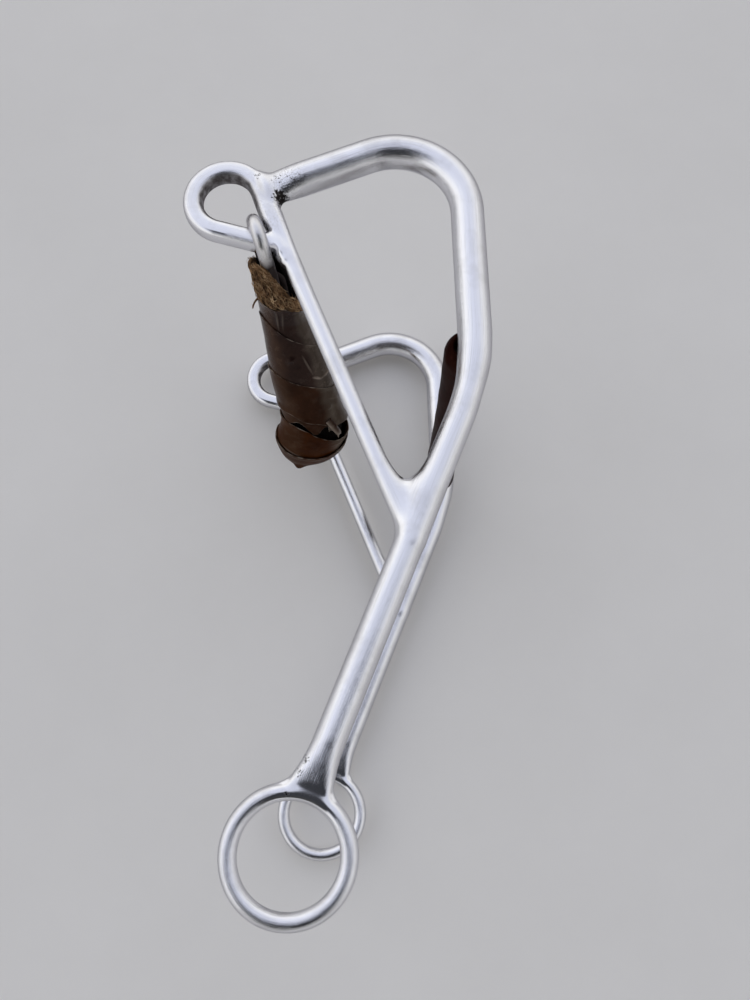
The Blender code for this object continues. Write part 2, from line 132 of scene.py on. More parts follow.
# Curb: end links, chain, felt sleeve and tape
HOOK_CLEARANCE = 0.0018
CURB_LEAN = math.radians(18.8)
CURB_REACH = 0.0432
CURB_BEND = 0.020
END_LINK_WIRE = 0.0034
END_LINK_INSIDE = 0.0170
END_LINK_SLACK = 0.0013
CHAIN_WIRE = 0.0022
CHAIN_PLAY = 0.0005
CHAIN_LINKS = 9
LINK_FULLNESS = 1.06
END_LINK_FULLNESS = 1.26
END_LINK_STRETCH = 0.0005
FELT_PLAY = 0.0006
FELT_START = 0.0130
FELT_SLANT = 0.0075
FELT_SLANT_RUN = 0.0180
FELT_END_WALL = 0.0010
FELT_WALL = 0.0034
FELT_FOLD_WALL = 0.0075
FELT_FOLD_REACH = 0.011
TAPE_LIFT = 0.0003
TAPE_THICKNESS = 0.00028
TAPE_LAP = 0.0040
TAPE_START = 0.0205
SLEEVE_DRIFT = 0.0012
SLEEVE_NARROWING = 0.0006
SLEEVE_BELLY = 0.0026
BELLY_PLACE = 0.028
BELLY_REACH = 0.020
WOUND_LEAN = 0.0066


# Plane geometry of a cheek, with the elbow's corner at (0, 0)

def heading(lean):
    """Plane direction that leans from +Y towards -X."""
    return np.array([-math.sin(lean), math.cos(lean)])


def left_of(direction):
    """Plane direction a quarter turn to the left."""
    return np.array([-direction[1], direction[0]])


def cross2(a, b):
    """Signed area of plane vectors."""
    return a[..., 0] * b[..., 1] - a[..., 1] * b[..., 0]


def meeting(point_a, along_a, point_b, along_b):
    """Where two plane lines meet."""
    return point_a + along_a * cross2(point_b - point_a, along_b) / cross2(along_a, along_b)


def unit(vector):
    """Vector of length one."""
    return vector / np.linalg.norm(vector)


ELBOW = np.zeros(2)
SHANK_UP = heading(-SHANK_LEAN)
SHANK_FORWARD = -left_of(SHANK_UP)
LIMB_UP = heading(LIMB_LEAN)
CURB_LIMB_UP = heading(CURB_LIMB_LEAN)
BAR_BACK = np.array([-math.cos(HEADSTALL_BAR_FALL), -math.sin(HEADSTALL_BAR_FALL)])
EYE_BAR_ALONG = np.array([math.cos(EYE_BAR_FALL), -math.sin(EYE_BAR_FALL)])
RING_RADIUS = (RING_BORE + RING_WIRE) / 2
RING_FOOT = ELBOW - SHANK_UP * SHANK_LENGTH
RING_CENTRE = RING_FOOT + SHANK_FORWARD * RING_FORWARD
TOP_CORNER = ELBOW + LIMB_UP * LIMB_LENGTH
FORK = ELBOW - SHANK_UP * FORK_DROP
BAR_WELD = meeting(TOP_CORNER, BAR_BACK, FORK, CURB_LIMB_UP)
EYE_START = BAR_WELD + CURB_LIMB_UP * EYE_RISE
EYE_CENTRE = EYE_START + left_of(CURB_LIMB_UP) * EYE_BEND
EYE_BAR_START = EYE_CENTRE - left_of(EYE_BAR_ALONG) * EYE_BEND
EYE_BAR_END = meeting(EYE_BAR_START, EYE_BAR_ALONG, FORK, CURB_LIMB_UP)
MOUTH_POINT = ELBOW + LIMB_UP * MOUTH_RISE + left_of(LIMB_UP) * MOUTH_SETBACK
HOOK_SETBACK = (EYE_ROD_DIAMETER + END_LINK_WIRE) / 2 + HOOK_CLEARANCE
HOOK = EYE_BAR_END - EYE_BAR_ALONG * HOOK_SETBACK / abs(cross2(EYE_BAR_ALONG, CURB_LIMB_UP))
CURB_OUT = np.array([math.sin(CURB_LEAN), -math.cos(CURB_LEAN)])


def middle(node):
    """Centre of a solid's box."""
    low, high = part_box(node)
    return np.array((low + high) / 2)


RIGHT_RING = middle("right_rein_ring")
LEFT_RING = middle("left_rein_ring")
ELBOW_PLACE = RIGHT_RING[:2] - RING_CENTRE
RIGHT_PLANE = RIGHT_RING[2]
LEFT_PLANE = LEFT_RING[2]
MID_PLANE = (RIGHT_PLANE + LEFT_PLANE) / 2
CHEEK_SPACING = RIGHT_PLANE - LEFT_PLANE


class Straight:
    """Straight stretch of a rod's centre line."""

    def __init__(self, start, end):
        self.start = start
        self.length = float(np.linalg.norm(end - start))
        self.along = (end - start) / self.length

    def reach(self, p):
        """Signed distance to the left and station of plane points."""
        station = np.clip((p - self.start) @ self.along, 0.0, self.length)
        away = p - (self.start + station[..., None] * self.along)
        return np.copysign(np.hypot(away[..., 0], away[..., 1]), cross2(self.along, away)), station


class Bend:
    """Round stretch of a rod's centre line."""

    def __init__(self, start, centre, turn):
        self.centre = centre
        self.spoke = start - centre
        self.radius = float(np.linalg.norm(self.spoke))
        self.way = math.copysign(1.0, turn)
        self.half = abs(turn) / 2
        self.length = self.radius * abs(turn)

    def reach(self, p):
        """Signed distance to the left and station of plane points."""
        out = p - self.centre
        angle = np.arctan2(cross2(self.spoke, out), out @ self.spoke) * self.way
        past_middle = (angle - self.half + math.pi) % math.tau - math.pi
        turn = (np.clip(past_middle, -self.half, self.half) + self.half) * self.way
        c, s = np.cos(turn), np.sin(turn)
        arm = np.stack([c * self.spoke[0] - s * self.spoke[1], s * self.spoke[0] + c * self.spoke[1]], -1)
        away = out - arm
        left = -self.way * (away * arm).sum(-1)
        return np.copysign(np.hypot(away[..., 0], away[..., 1]), left), np.abs(turn) * self.radius


def bent_rod(corners, bends):
    """Stretches of a rod through plane corners, each inner corner bent to its radius."""
    stretches = []
    start = corners[0]
    for corner, after, bend in zip(corners[1:], corners[2:], bends):
        into = unit(corner - start)
        out = unit(after - corner)
        turn = math.atan2(cross2(into, out), into @ out)
        tangent = bend * math.tan(abs(turn) / 2)
        begin = corner - into * tangent
        stretches.append(Straight(start, begin))
        stretches.append(Bend(begin, begin + left_of(into) * math.copysign(bend, turn), turn))
        start = corner + out * tangent
    stretches.append(Straight(start, corners[-1]))
    return stretches


def nearest(stretches, p):
    """Signed distance and station of plane points on the nearest of a rod's stretches."""
    best, run = stretches[0].reach(p)
    before = stretches[0].length
    for stretch in stretches[1:]:
        side, station = stretch.reach(p)
        closer = np.abs(side) < np.abs(best)
        best = np.where(closer, side, best)
        run = np.where(closer, station + before, run)
        before += stretch.length
    return best, run


EYE_SWEEP = math.tau - EYE_BAR_FALL - (math.pi / 2 + CURB_LIMB_LEAN)
LAP_LINE = EYE_BAR_END + left_of(CURB_LIMB_UP) * EYE_LAP_OFFSET
LAP_CORNER = meeting(EYE_BAR_START, EYE_BAR_ALONG, LAP_LINE, CURB_LIMB_UP)
CHEEK_BAR = bent_rod([RING_FOOT + SHANK_UP * RING_RADIUS, ELBOW, TOP_CORNER, BAR_WELD - BAR_BACK * WEB_SET],
                     [ELBOW_BEND, CORNER_BEND])
CURB_LIMB = [Straight(FORK, EYE_START), Bend(EYE_START, EYE_CENTRE, EYE_SWEEP)]
LAP_END = LAP_CORNER - CURB_LIMB_UP * EYE_LAP_LENGTH - left_of(CURB_LIMB_UP) * EYE_LAP_CLOSING
EYE_BAR = bent_rod([EYE_BAR_START, LAP_CORNER, LAP_END], [EYE_LAP_BEND])


def smooth_step(x):
    """Ease from 0 to 1."""
    x = np.clip(x, 0.0, 1.0)
    return x * x * (3.0 - 2.0 * x)


def melt(a, b, fillet):
    """Join two distance fields with a fillet between them."""
    fillet = np.maximum(fillet, 1e-7)
    near = np.maximum(fillet - np.abs(a - b), 0.0) / fillet
    return np.minimum(a, b) - near * near * fillet / 4


def closeness(p, point, reach):
    """1 at a plane point, falling to 0 at reach."""
    return smooth_step(1.0 - np.linalg.norm(p - point, axis=-1) / reach)


def rounded(a, b, squareness):
    """Size of a rod's section through a point: round at 2, flatter on its sides above that."""
    return (np.abs(a) ** squareness + np.abs(b) ** squareness) ** (1.0 / squareness)


def rod_fields(p, z):
    """Distance to the surface of each rod of a cheek, with its sideways distance and station."""
    side, run = nearest(CHEEK_BAR, p)
    up = p @ SHANK_UP
    above_ring = (p - RING_CENTRE) @ SHANK_UP
    thinning = smooth_step((FOOT_TOP - above_ring) / (FOOT_TOP - RING_RADIUS + FOOT_RUN_ON))
    wide = SHANK_DIAMETER + (LIMB_DIAMETER - SHANK_DIAMETER) * smooth_step(0.5 + up / ELBOW_BLEND)
    flare = np.maximum((FOOT_FLARE_TOP - above_ring) / FOOT_FLARE_RUN, 0.0) ** 1.7
    wide = wide + FOOT_SPREAD * flare + (WEB_WIDTH - wide) * closeness(p, BAR_WELD, WEB_TAPER)
    deep = wide + (FOOT_THICKNESS - wide) * thinning
    deep = deep + (WEB_THICKNESS - deep) * closeness(p, BAR_WELD, WEB_FLATTENING)
    flat = wide / deep
    bar = (rounded(side, z * flat, 2.0 + (FOOT_SQUARENESS - 2.0) * thinning) - wide / 2) / np.sqrt(flat)

    limb_side, limb_run = nearest(CURB_LIMB, p)
    rise = smooth_step((limb_run - CURB_LIMB[0].length * 0.6) / (CURB_LIMB[0].length * 0.35))
    across = rounded(limb_side, z, 2.0 + (EYE_SQUARENESS - 2.0) * rise)
    limb = across - (CURB_LIMB_DIAMETER + (EYE_ROD_DIAMETER + EYE_FULLNESS - CURB_LIMB_DIAMETER) * rise) / 2
    limb = limb - WELD_FULLNESS * closeness(p, BAR_WELD - CURB_LIMB_UP * WELD_FULL_DROP, WELD_FULL_REACH)

    eye_side, eye_run = nearest(EYE_BAR, p)
    taper = smooth_step((eye_run - EYE_BAR[0].length) / EYE_BAR[1].length)
    tip = smooth_step((eye_run - EYE_BAR[0].length - EYE_BAR[1].length) / EYE_BAR[2].length)
    thinned = (1.0 - EYE_LAP_THINNING * taper) * (1.0 - EYE_LAP_TIP * tip)
    height = z * thinned / (1.0 - EYE_LAP_SINK * tip)
    across = rounded(eye_side, height, EYE_SQUARENESS + (2.0 - EYE_SQUARENESS) * taper)
    eye = across - (EYE_ROD_DIAMETER + EYE_FULLNESS) / 2 * thinned

    ring_out = np.linalg.norm(p - RING_CENTRE, axis=-1) - RING_RADIUS
    ring_run = np.arctan2(*(p - RING_CENTRE).T[::-1]).T * RING_RADIUS
    ring = np.hypot(ring_out, z) - RING_WIRE / 2
    bar = -melt(-bar, ring_out + FOOT_OVERLAP, FOOT_ROUNDING)
    return (bar, side, run), (limb, limb_side, limb_run), (eye, eye_side, eye_run), (ring, ring_out, ring_run)


GRAINY_SPOTS = [
    (BAR_WELD + np.array([0.0020, -0.0060]), 0.0130),
    (BAR_WELD - BAR_BACK * 0.0080, 0.0100),
    (BAR_WELD + np.array([0.0022, -0.0134]), 0.0060),
]
PITTED_SPOTS = [
    (BAR_WELD + np.array([0.0050, 0.0025]), 0.0034),
    (BAR_WELD + np.array([0.0102, 0.0021]), 0.0032),
    (BAR_WELD + np.array([-0.0011, 0.0042]), 0.0026),
    (BAR_WELD + np.array([0.0022, -0.0128]), 0.0022),
    (RING_FOOT + SHANK_UP * 0.0229 - SHANK_FORWARD * 0.0037, 0.0020),
    (RING_FOOT + SHANK_UP * 0.0190 - SHANK_FORWARD * 0.0037, 0.0022),
]
BURNT_SPOTS = [
    (BAR_WELD + np.array([0.0064, -0.0032]), 0.0046),
    (RING_FOOT + SHANK_UP * 0.0134 - SHANK_FORWARD * 0.0049, 0.0013),
]


def marked(p, spots):
    """How near plane points are to the middle of the nearest spot, from 0 to 1."""
    return np.max([closeness(p, point, reach) for point, reach in spots], 0)


def lumps(points, size):
    """Smooth uneven pattern from -1 to 1, with lumps of about the given size."""
    q = points / size
    a = np.sin(q[..., 0] * 2.1 + 1.3 * np.sin(q[..., 1] * 1.7 + 0.5))
    b = np.sin(q[..., 1] * 2.3 + 1.1 * np.sin(q[..., 2] * 1.9 + 2.1))
    c = np.sin(q[..., 2] * 1.8 + 1.2 * np.sin(q[..., 0] * 2.2 + 4.0))
    return (a * b + b * c + c * a) / 1.8


def fork_fillet(p):
    """Fillet where the curb limb leaves the shank, which grows into the crotch."""
    above = (p - FORK) @ SHANK_UP
    near = smooth_step(2.0 - np.abs(above - FORK_MIDDLE) / FORK_REACH)
    crotch = smooth_step((above - FORK_SET) / FORK_RISE)
    return near * (FORK_NOTCH + (FORK_FILLET - FORK_NOTCH) * crotch)


def cheek_field(points):
    """Distance to the steel surface of a welded cheek, for points with the cheek's plane at z = 0."""
    p = points[..., :2]
    z = points[..., 2]
    (bar, _, _), (limb, limb_side, _), (eye, _, _), (ring, ring_out, _) = rod_fields(p, z)
    low = smooth_step(1.5 - np.abs(z) / (0.6 * EYE_ROD_DIAMETER / 2))
    eye_weld = EYE_WELD_FILLET * low * closeness(p, EYE_BAR_END, EYE_WELD_REACH)
    limb = melt(limb, eye, np.maximum(eye_weld, EYE_LAP_WELD * closeness(p, EYE_BAR_END, EYE_LAP_REACH)))
    outside_eye = smooth_step(0.5 - limb_side / CURB_LIMB_DIAMETER)
    weld = BAR_WELD_FILLET * closeness(p, BAR_WELD, BAR_WELD_REACH) * outside_eye
    steel = melt(bar, limb, np.maximum(fork_fillet(p), weld))
    outside = smooth_step(0.5 + ring_out / RING_WIRE)
    edge = smooth_step(1.5 - np.abs(z) / (0.6 * RING_WIRE / 2))
    near_foot = closeness(p, RING_FOOT + SHANK_UP * RING_RADIUS, 0.02)
    steel = melt(steel, ring, np.maximum(FOOT_FILLET * outside * edge, RING_WELD) * near_foot)
    return steel + 0.00003 * marked(p, GRAINY_SPOTS) * lumps(points, 0.0022)


def gradient(field, points, step=2e-5):
    """Direction in which a distance field grows."""
    slopes = []
    for axis in np.eye(3) * step:
        slopes.append((field(points + axis) - field(points - axis)) / (2 * step))
    return np.stack(slopes, -1)


def pull_to_surface(field, points, rounds):
    """Move points along the slope of a distance field to where it is zero."""
    for _ in range(rounds):
        slope = gradient(field, points)
        steep = np.maximum((slope ** 2).sum(-1), 1e-3)
        points = points - slope * np.clip(field(points) / steep, -3e-4, 3e-4)[:, None]
    return points


def skin_of(field, low, high, pitch):
    """Quad mesh on the zero surface of a distance field, in a box."""
    counts = np.ceil((high - low) / pitch).astype(int) + 1
    axes = [low[i] + pitch * np.arange(counts[i]) for i in range(3)]
    inside = np.empty(counts, bool)
    for k, z in enumerate(axes[2]):
        layer = np.stack(np.meshgrid(axes[0], axes[1], [z], indexing="ij"), -1)[:, :, 0]
        inside[:, :, k] = field(layer) < 0
    near = sum(inside[a:counts[0] - 1 + a, b:counts[1] - 1 + b, c:counts[2] - 1 + c].astype(np.int8)
               for a in (0, 1) for b in (0, 1) for c in (0, 1))
    cells = (near > 0) & (near < 8)
    number = np.full(cells.shape, -1)
    number[cells] = np.arange(cells.sum())
    points = low + (np.argwhere(cells) + 0.5) * pitch
    quads = []
    for axis in range(3):
        first = [slice(None)] * 3
        second = [slice(None)] * 3
        first[axis] = slice(0, -1)
        second[axis] = slice(1, None)
        change = inside[tuple(first)].astype(np.int8) - inside[tuple(second)]
        u, v = [(axis + 1) % 3, (axis + 2) % 3]
        for sign in (1, -1):
            at = np.argwhere(change == sign)
            corners = []
            for du, dv in ((-1, -1), (0, -1), (0, 0), (-1, 0)):
                cell = at.copy()
                cell[:, u] += du
                cell[:, v] += dv
                corners.append(number[tuple(cell.T)])
            quads.append(np.stack(corners[::sign], -1))
    return points, np.concatenate(quads)


def relax(points, quads, share=0.5):
    """Move each point part of the way to the middle of its neighbours."""
    total = np.zeros_like(points)
    count = np.zeros(len(points))
    for a, b in ((0, 1), (1, 2), (2, 3), (3, 0)):
        for one, other in ((a, b), (b, a)):
            np.add.at(total, quads[:, one], points[quads[:, other]])
            np.add.at(count, quads[:, one], 1.0)
    return points + share * (total / count[:, None] - points)


def add_piece(name, points, faces, smooth=True):
    """Mesh object from points and faces."""
    mesh = bpy.data.meshes.new(name)
    mesh.from_pydata(np.asarray(points).tolist(), [], [list(map(int, f)) for f in faces])
    mesh.validate()
    mesh.update()
    if smooth:
        mesh.shade_smooth()
    piece = bpy.data.objects.new(name, mesh)
    bpy.context.scene.collection.objects.link(piece)
    return piece


def keep_values(piece, name, values):
    """Store a number or a vector for each point of a piece, for its material."""
    values = np.asarray(values, np.float32)
    if values.ndim == 1:
        piece.data.attributes.new(name, "FLOAT", "POINT").data.foreach_set("value", values)
    else:
        piece.data.attributes.new(name, "FLOAT_VECTOR", "POINT").data.foreach_set("vector", values.ravel())


def rod_values(points):
    """For each point of a cheek: run, turn and number of its rod, and how near it is to the next rod."""
    p = points[:, :2]
    z = points[:, 2]
    rods = rod_fields(p, z)
    fields = np.stack([rod[0] for rod in rods])
    chosen = np.argmin(fields, 0)
    best, second = np.sort(fields, 0)[:2]
    side = np.choose(chosen, [rod[1] for rod in rods])
    run = np.choose(chosen, [rod[2] for rod in rods])
    seam = smooth_step((SEAM_WIDTH - second + best) / SEAM_FADE)
    return np.stack([run, np.arctan2(z, side), chosen * 0.3], -1), seam


def make_cheek_skin():
    """Points, faces and surface directions of one welded cheek, with its plane at z = 0."""
    margin = 0.002
    thick = LIMB_DIAMETER / 2 + margin
    corners = np.array([RING_CENTRE - RING_RADIUS - RING_WIRE, RING_CENTRE + RING_RADIUS + RING_WIRE,
                        TOP_CORNER + margin, ELBOW + LIMB_DIAMETER, EYE_CENTRE - EYE_BEND - EYE_ROD_DIAMETER])
    low = np.array([*corners.min(0), -thick])
    high = np.array([*corners.max(0), thick])
    points, quads = skin_of(cheek_field, low, high, CHEEK_MESH_PITCH)
    points = pull_to_surface(cheek_field, points, 3)
    for _ in range(6):
        points = pull_to_surface(cheek_field, relax(points, quads), 1)
    points = pull_to_surface(cheek_field, points, 2)
    slope = gradient(cheek_field, points)
    return points, quads, slope / np.linalg.norm(slope, axis=1)[:, None]


def make_cheek(side, plane, skin):
    """One welded cheek in place."""
    points, quads, normals = skin
    placed = points + np.array([*ELBOW_PLACE, plane])
    piece = add_piece(side + "_cheek", placed, quads)
    piece.data.normals_split_custom_set_from_vertices(normals.tolist())
    run, seam = rod_values(points)
    keep_values(piece, "run", run)
    keep_values(piece, "seam", seam)
    for mark, spots in (("grain", GRAINY_SPOTS), ("pits", PITTED_SPOTS), ("burn", BURNT_SPOTS)):
        keep_values(piece, mark, marked(points[:, :2], spots))
    # Painted shade: the walls that face into the eye are marked to be painted dark, standing in for the shade and
    # dark reflection inside the eye.
    from_eye = points[:, :2] - EYE_CENTRE
    reach = np.linalg.norm(from_eye, axis=1)
    inward = -(from_eye * normals[:, :2]).sum(1) / np.maximum(reach, 1e-6)
    keep_values(piece, "painted_shade", smooth_step((inward - 0.30) / 0.45) * smooth_step((0.0160 - reach) / 0.004))
    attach(piece, "bit_frame")
    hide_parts(side + "_cheek_bar", side + "_curb_limb", side + "_rein_ring")
    return piece


# Turned and looped pieces

def grid_faces(rows, columns, close_rows=False):
    """Quads of a grid whose columns close on themselves."""
    faces = []
    for i in range(rows if close_rows else rows - 1):
        nxt = (i + 1) % rows
        for k in range(columns):
            right = (k + 1) % columns
            faces.append((i * columns + k, i * columns + right, nxt * columns + right, nxt * columns + k))
    return faces


def turned_piece(name, profile, sides, unevenness, setback=0.0):
    """Closed round piece about the mouthpiece's axis, from heights and radii, out and back inside."""
    angles = np.arange(sides) * math.tau / sides
    place = np.array([*(ELBOW_PLACE + MOUTH_POINT + left_of(LIMB_UP) * setback), MID_PLANE])
    points = []
    for height, radius, rough in profile:
        ring = np.stack([np.cos(angles), np.sin(angles), np.zeros(sides)], -1) * radius
        ring[:, 2] = height
        ring[:, :2] *= (1.0 + rough * unevenness * lumps(ring, 0.006))[:, None]
        points.append(ring + place)
    return add_piece(name, np.concatenate(points), grid_faces(len(profile), sides, close_rows=True))


def make_cover():
    """Moulded cover of the mouthpiece, with soft shoulders and a slight waist."""
    end = MOUTH_WIDTH / 2 + COVER_OVERLAP
    full = COVER_END_DIAMETER / 2
    waist = COVER_WAIST_DIAMETER / 2
    bore = MOUTH_BAR_DIAMETER / 2 + COVER_SETBACK + 0.0002
    upper = []
    for share in np.linspace(0.0, 1.0, 40):
        upper.append(((end - COVER_SHOULDER) * share, waist + (full - waist) * share ** 2, 1.0))
    for angle in np.linspace(0.0, math.pi / 2, 14)[1:]:
        inset = COVER_ROUNDING * (1.0 - math.cos(angle))
        upper.append((end - COVER_SHOULDER * (1.0 - math.sin(angle)), full - inset, 0.5))
    upper.append((end + 0.0001, bore + 0.0004, 0.0))
    lower = [(-z, r, rough) for z, r, rough in reversed(upper[1:])]
    inner = [(end - 0.0004, bore, 0.0), (0.0, bore, 0.0), (-end + 0.0004, bore, 0.0)]
    cover = turned_piece("rubber_cover", lower + upper + inner, 72, 0.012, COVER_SETBACK)
    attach(cover, "bit_frame")
    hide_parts("mouthpiece_cover")
    return cover


def make_core():
    """Steel core of the mouthpiece, with a weld bead where it meets each cheek."""
    end = MOUTH_WIDTH / 2
    radius = MOUTH_BAR_DIAMETER / 2
    upper = [(end - 0.006, radius, 0.0), (end - 0.0016, radius, 0.0), (end + 0.0012, radius, 1.0)]
    lower = [(-z, r, rough) for z, r, rough in reversed(upper)]
    caps = [(end + 0.0013, 0.0005, 0.0), (-end - 0.0013, 0.0005, 0.0)]
    core = turned_piece("mouthpiece_core", lower + upper + caps, 48, 0.05)
    run = np.array([v.co for v in core.data.vertices]) - np.array([*(ELBOW_PLACE + MOUTH_POINT), MID_PLANE])
    keep_values(core, "run", np.stack([run[:, 2], np.arctan2(run[:, 1], run[:, 0]), run[:, 2] * 0], -1))
    keep_values(core, "grain", smooth_step((np.abs(run[:, 2]) - end + 0.002) / 0.002) * 0.8)
    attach(core, "bit_frame")
    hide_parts("mouthpiece_bar")
    return core


class CurbLine:
    """Centre line of the curb, measured from its middle, in the plane that leans from the cheeks."""

    def __init__(self):
        half = CHEEK_SPACING / 2
        self.fold = math.atan2(CURB_REACH, half)
        self.centre = CURB_REACH - CURB_BEND / math.cos(self.fold)
        straight = math.hypot(CURB_REACH, half) - CURB_BEND * math.tan(self.fold)
        self.half = straight + CURB_BEND * self.fold
        self.out = np.array([*CURB_OUT, 0.0])
        self.up = np.array([0.0, 0.0, 1.0])
        self.normal = np.cross(self.out, self.up)
        self.hook = np.array([*(ELBOW_PLACE + HOOK), MID_PLANE])

    def at(self, t):
        """Place, direction of travel and direction out of the fold, at lengths from the middle."""
        turn = np.clip(t / CURB_BEND, -self.fold, self.fold)
        past = t - turn * CURB_BEND
        c, s = np.cos(turn)[..., None], np.sin(turn)[..., None]
        along = -s * self.out - c * self.up
        outward = c * self.out - s * self.up
        place = self.hook + self.out * self.centre + outward * CURB_BEND + past[..., None] * along
        return place, along, outward


LINE = CurbLine()
FELT_BORE = END_LINK_WIRE / 2 + CHAIN_PLAY + CHAIN_WIRE + FELT_PLAY
FELT_MOUTH = EYE_ROD_DIAMETER / 2 + END_LINK_SLACK + END_LINK_WIRE + FELT_PLAY
END_LINK_TOP = -(EYE_ROD_DIAMETER + END_LINK_WIRE) / 2 - END_LINK_SLACK
END_LINK_BOTTOM = END_LINK_TOP + END_LINK_INSIDE + END_LINK_WIRE
FELT_HALF = LINE.half - FELT_START
TAPE_HALF = LINE.half - TAPE_START


def felt_sizes(t):
    """Half depth in the fold's plane and half width across it, of the felt and of its bore."""
    from_hook = LINE.half - np.abs(t)
    mouth = np.clip(1.0 - (from_hook - END_LINK_BOTTOM - END_LINK_WIRE) / FELT_MOUTH, 0.0, 1.0)
    bore = FELT_BORE + (FELT_MOUTH - FELT_BORE) * mouth
    wall = FELT_WALL + (FELT_END_WALL - FELT_WALL) * np.clip(np.abs(t) / FELT_HALF, 0.0, 1.0) ** 2
    side_wall = wall + (FELT_FOLD_WALL - wall) * np.exp(-(t / FELT_FOLD_REACH) ** 2)
    return (bore + wall, FELT_BORE + side_wall), (bore, FELT_BORE + 0 * t)


def on_sleeve(t, angle, sizes, proud):
    """Points on the curb's sleeve at lengths from the middle and angles round it."""
    place, along, outward = LINE.at(t)
    depth, width = sizes
    to_end = smooth_step((np.abs(t) / FELT_HALF - 0.45) / 0.55)
    lean = FELT_SLANT * np.sign(t) * np.clip(1.0 - (FELT_HALF - np.abs(t)) / FELT_SLANT_RUN, 0.0, 1.0)
    c, s = np.cos(angle), np.sin(angle)
    belly = SLEEVE_BELLY * np.exp(-((np.abs(t) - BELLY_PLACE) / BELLY_REACH) ** 2) * (1.0 - s) / 2
    sideways = (width - SLEEVE_NARROWING * to_end + proud) * s - SLEEVE_DRIFT * to_end - belly
    return (place + outward * ((depth + proud) * c)[..., None] + LINE.normal * sideways[..., None]
            + along * (lean * s)[..., None])


def waves(angle, seed, count=7):
    """Uneven closed line round the sleeve, from -1 to 1."""
    draw = np.random.default_rng(seed)
    total = 0.0
    for k in range(1, count + 1):
        total = total + draw.normal() / k ** 0.6 * np.sin(k * angle + draw.uniform(0, math.tau))
    return np.tanh(total * 0.6)


def bump_at(angle, centre, width):
    """Rounded rise at one angle round the sleeve, all in degrees but the angle itself."""
    away = (angle - math.radians(centre) + math.pi) % math.tau - math.pi
    return np.exp(-(away / math.radians(width)) ** 2)


def shell_piece(name, start, end, rows, sides, proud, inner_proud):
    """Hollow sleeve piece: start and end along the curb for each angle, and its height over the felt."""
    angle = np.arange(sides) * math.tau / sides
    share = np.linspace(0.0, 1.0, rows)[:, None]
    t = start(angle) + (end(angle) - start(angle)) * share
    turn = np.broadcast_to(angle, t.shape)
    outer = on_sleeve(t, turn, felt_sizes(t)[0], proud(t, turn))
    inner = on_sleeve(t, turn, felt_sizes(t)[0], inner_proud(t, turn))[::-1]
    points = np.concatenate([outer.reshape(-1, 3), inner.reshape(-1, 3)])
    piece = add_piece(name, points, grid_faces(2 * rows, sides, close_rows=True))
    run = np.stack([t, turn * 0.008, 0 * t], -1)
    keep_values(piece, "run", np.concatenate([run.reshape(-1, 3), run[::-1].reshape(-1, 3)]))
    return piece


def squeeze(t, angle):
    """How far the sleeve is pressed in on the right of its fold."""
    return 0.0020 * bump_at(angle, -70, 50) * np.exp(-((t - 0.0025) / 0.0055) ** 2)


def felt_rim(angle, seed):
    """How far the felt's ragged mouth stands out past its slanted cut."""
    tuft = 0.0044 * bump_at(angle, 25, 48)
    back = 0.0085 * bump_at(angle, 212, 42)
    cut = 0.0013 * bump_at(angle, -42, 40) + 0.0019 * bump_at(angle, 67, 24)
    return tuft + back - cut + 0.0008 * waves(angle, seed, 24)


def tape_top(angle):
    """Where the tape starts on the right half of the sleeve, lower on its left."""
    return -TAPE_HALF - 0.0006 + 0.0011 * np.tanh(6.0 * np.sin(angle - 0.25)) + 0.0003 * waves(angle, 11, 5)


def make_felt():
    """Matted felt sleeve with ragged slanted mouths, pressed in under the torn tape at the fold."""
    def start(angle):
        return -FELT_HALF - felt_rim(angle, 3)

    def end(angle):
        return FELT_HALF + felt_rim(angle, 4)

    def proud(t, angle):
        place = on_sleeve(t, angle, felt_sizes(t)[0], 0 * t)
        open_end = smooth_step((np.abs(t) - TAPE_HALF + 0.0008) / 0.004)
        clumps = 0.00065 * lumps(place, 0.0012) + 0.0004 * lumps(place, 0.0005) + 0.0003
        return open_end * clumps - 0.0002 - 0.0016 * smooth_step(1.6 - np.abs(t) / 0.014) - squeeze(t, angle)

    def inner(t, angle):
        (depth, width), (bore, side_bore) = felt_sizes(t)
        c, s = np.cos(angle) ** 2, np.sin(angle) ** 2
        wall = (depth - bore) * c + (width - side_bore + 0.0007) * s
        return 0.0002 * lumps(on_sleeve(t, angle, (depth, width), 0 * t), 0.0012) - wall

    felt = shell_piece("felt_pad", start, end, 280, 144, proud, inner)
    run = np.zeros(len(felt.data.vertices) * 3, np.float32)
    felt.data.attributes["run"].data.foreach_get("vector", run)
    t = np.abs(run[0::3])
    inside = np.arange(len(t)) >= len(t) // 2
    angle = run[1::3] / 0.008
    rim = FELT_HALF + felt_rim(angle, 3)
    # Painted shade: the inside of the sleeve, the felt round the fold under the torn tape and the rim beside the limb
    # are marked to be painted near-black.
    shaded_rim = smooth_step((t - rim + 0.0030) / 0.0020) * smooth_step(1.6 * bump_at(angle, -105, 62))
    keep_values(felt, "painted_felt_shade", np.max([inside, smooth_step((0.0200 - t) / 0.002), shaded_rim], 0))
    keep_values(felt, "loose", smooth_step((t - FELT_HALF + 0.0015) / 0.005))
    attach(felt, "curb")
    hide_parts("felt_sleeve")
    return felt


def sweep(path, outline, scale):
    """Points and faces of a closed outline carried along a path, scaled at each step."""
    along = np.gradient(path, axis=0)
    along /= np.linalg.norm(along, axis=1)[:, None]
    side = np.cross(along, np.array([0.31, 0.52, 0.79]))
    side /= np.linalg.norm(side, axis=1)[:, None]
    up = np.cross(along, side)
    scaled = scale[:, None, None] * outline
    rings = path[:, None] + side[:, None] * scaled[..., :1] + up[:, None] * scaled[..., 1:]
    count = len(outline)
    faces = grid_faces(len(path), count)
    faces.append(tuple(range(count))[::-1])
    faces.append(tuple(range((len(path) - 1) * count, len(path) * count)))
    return rings.reshape(-1, 3), faces


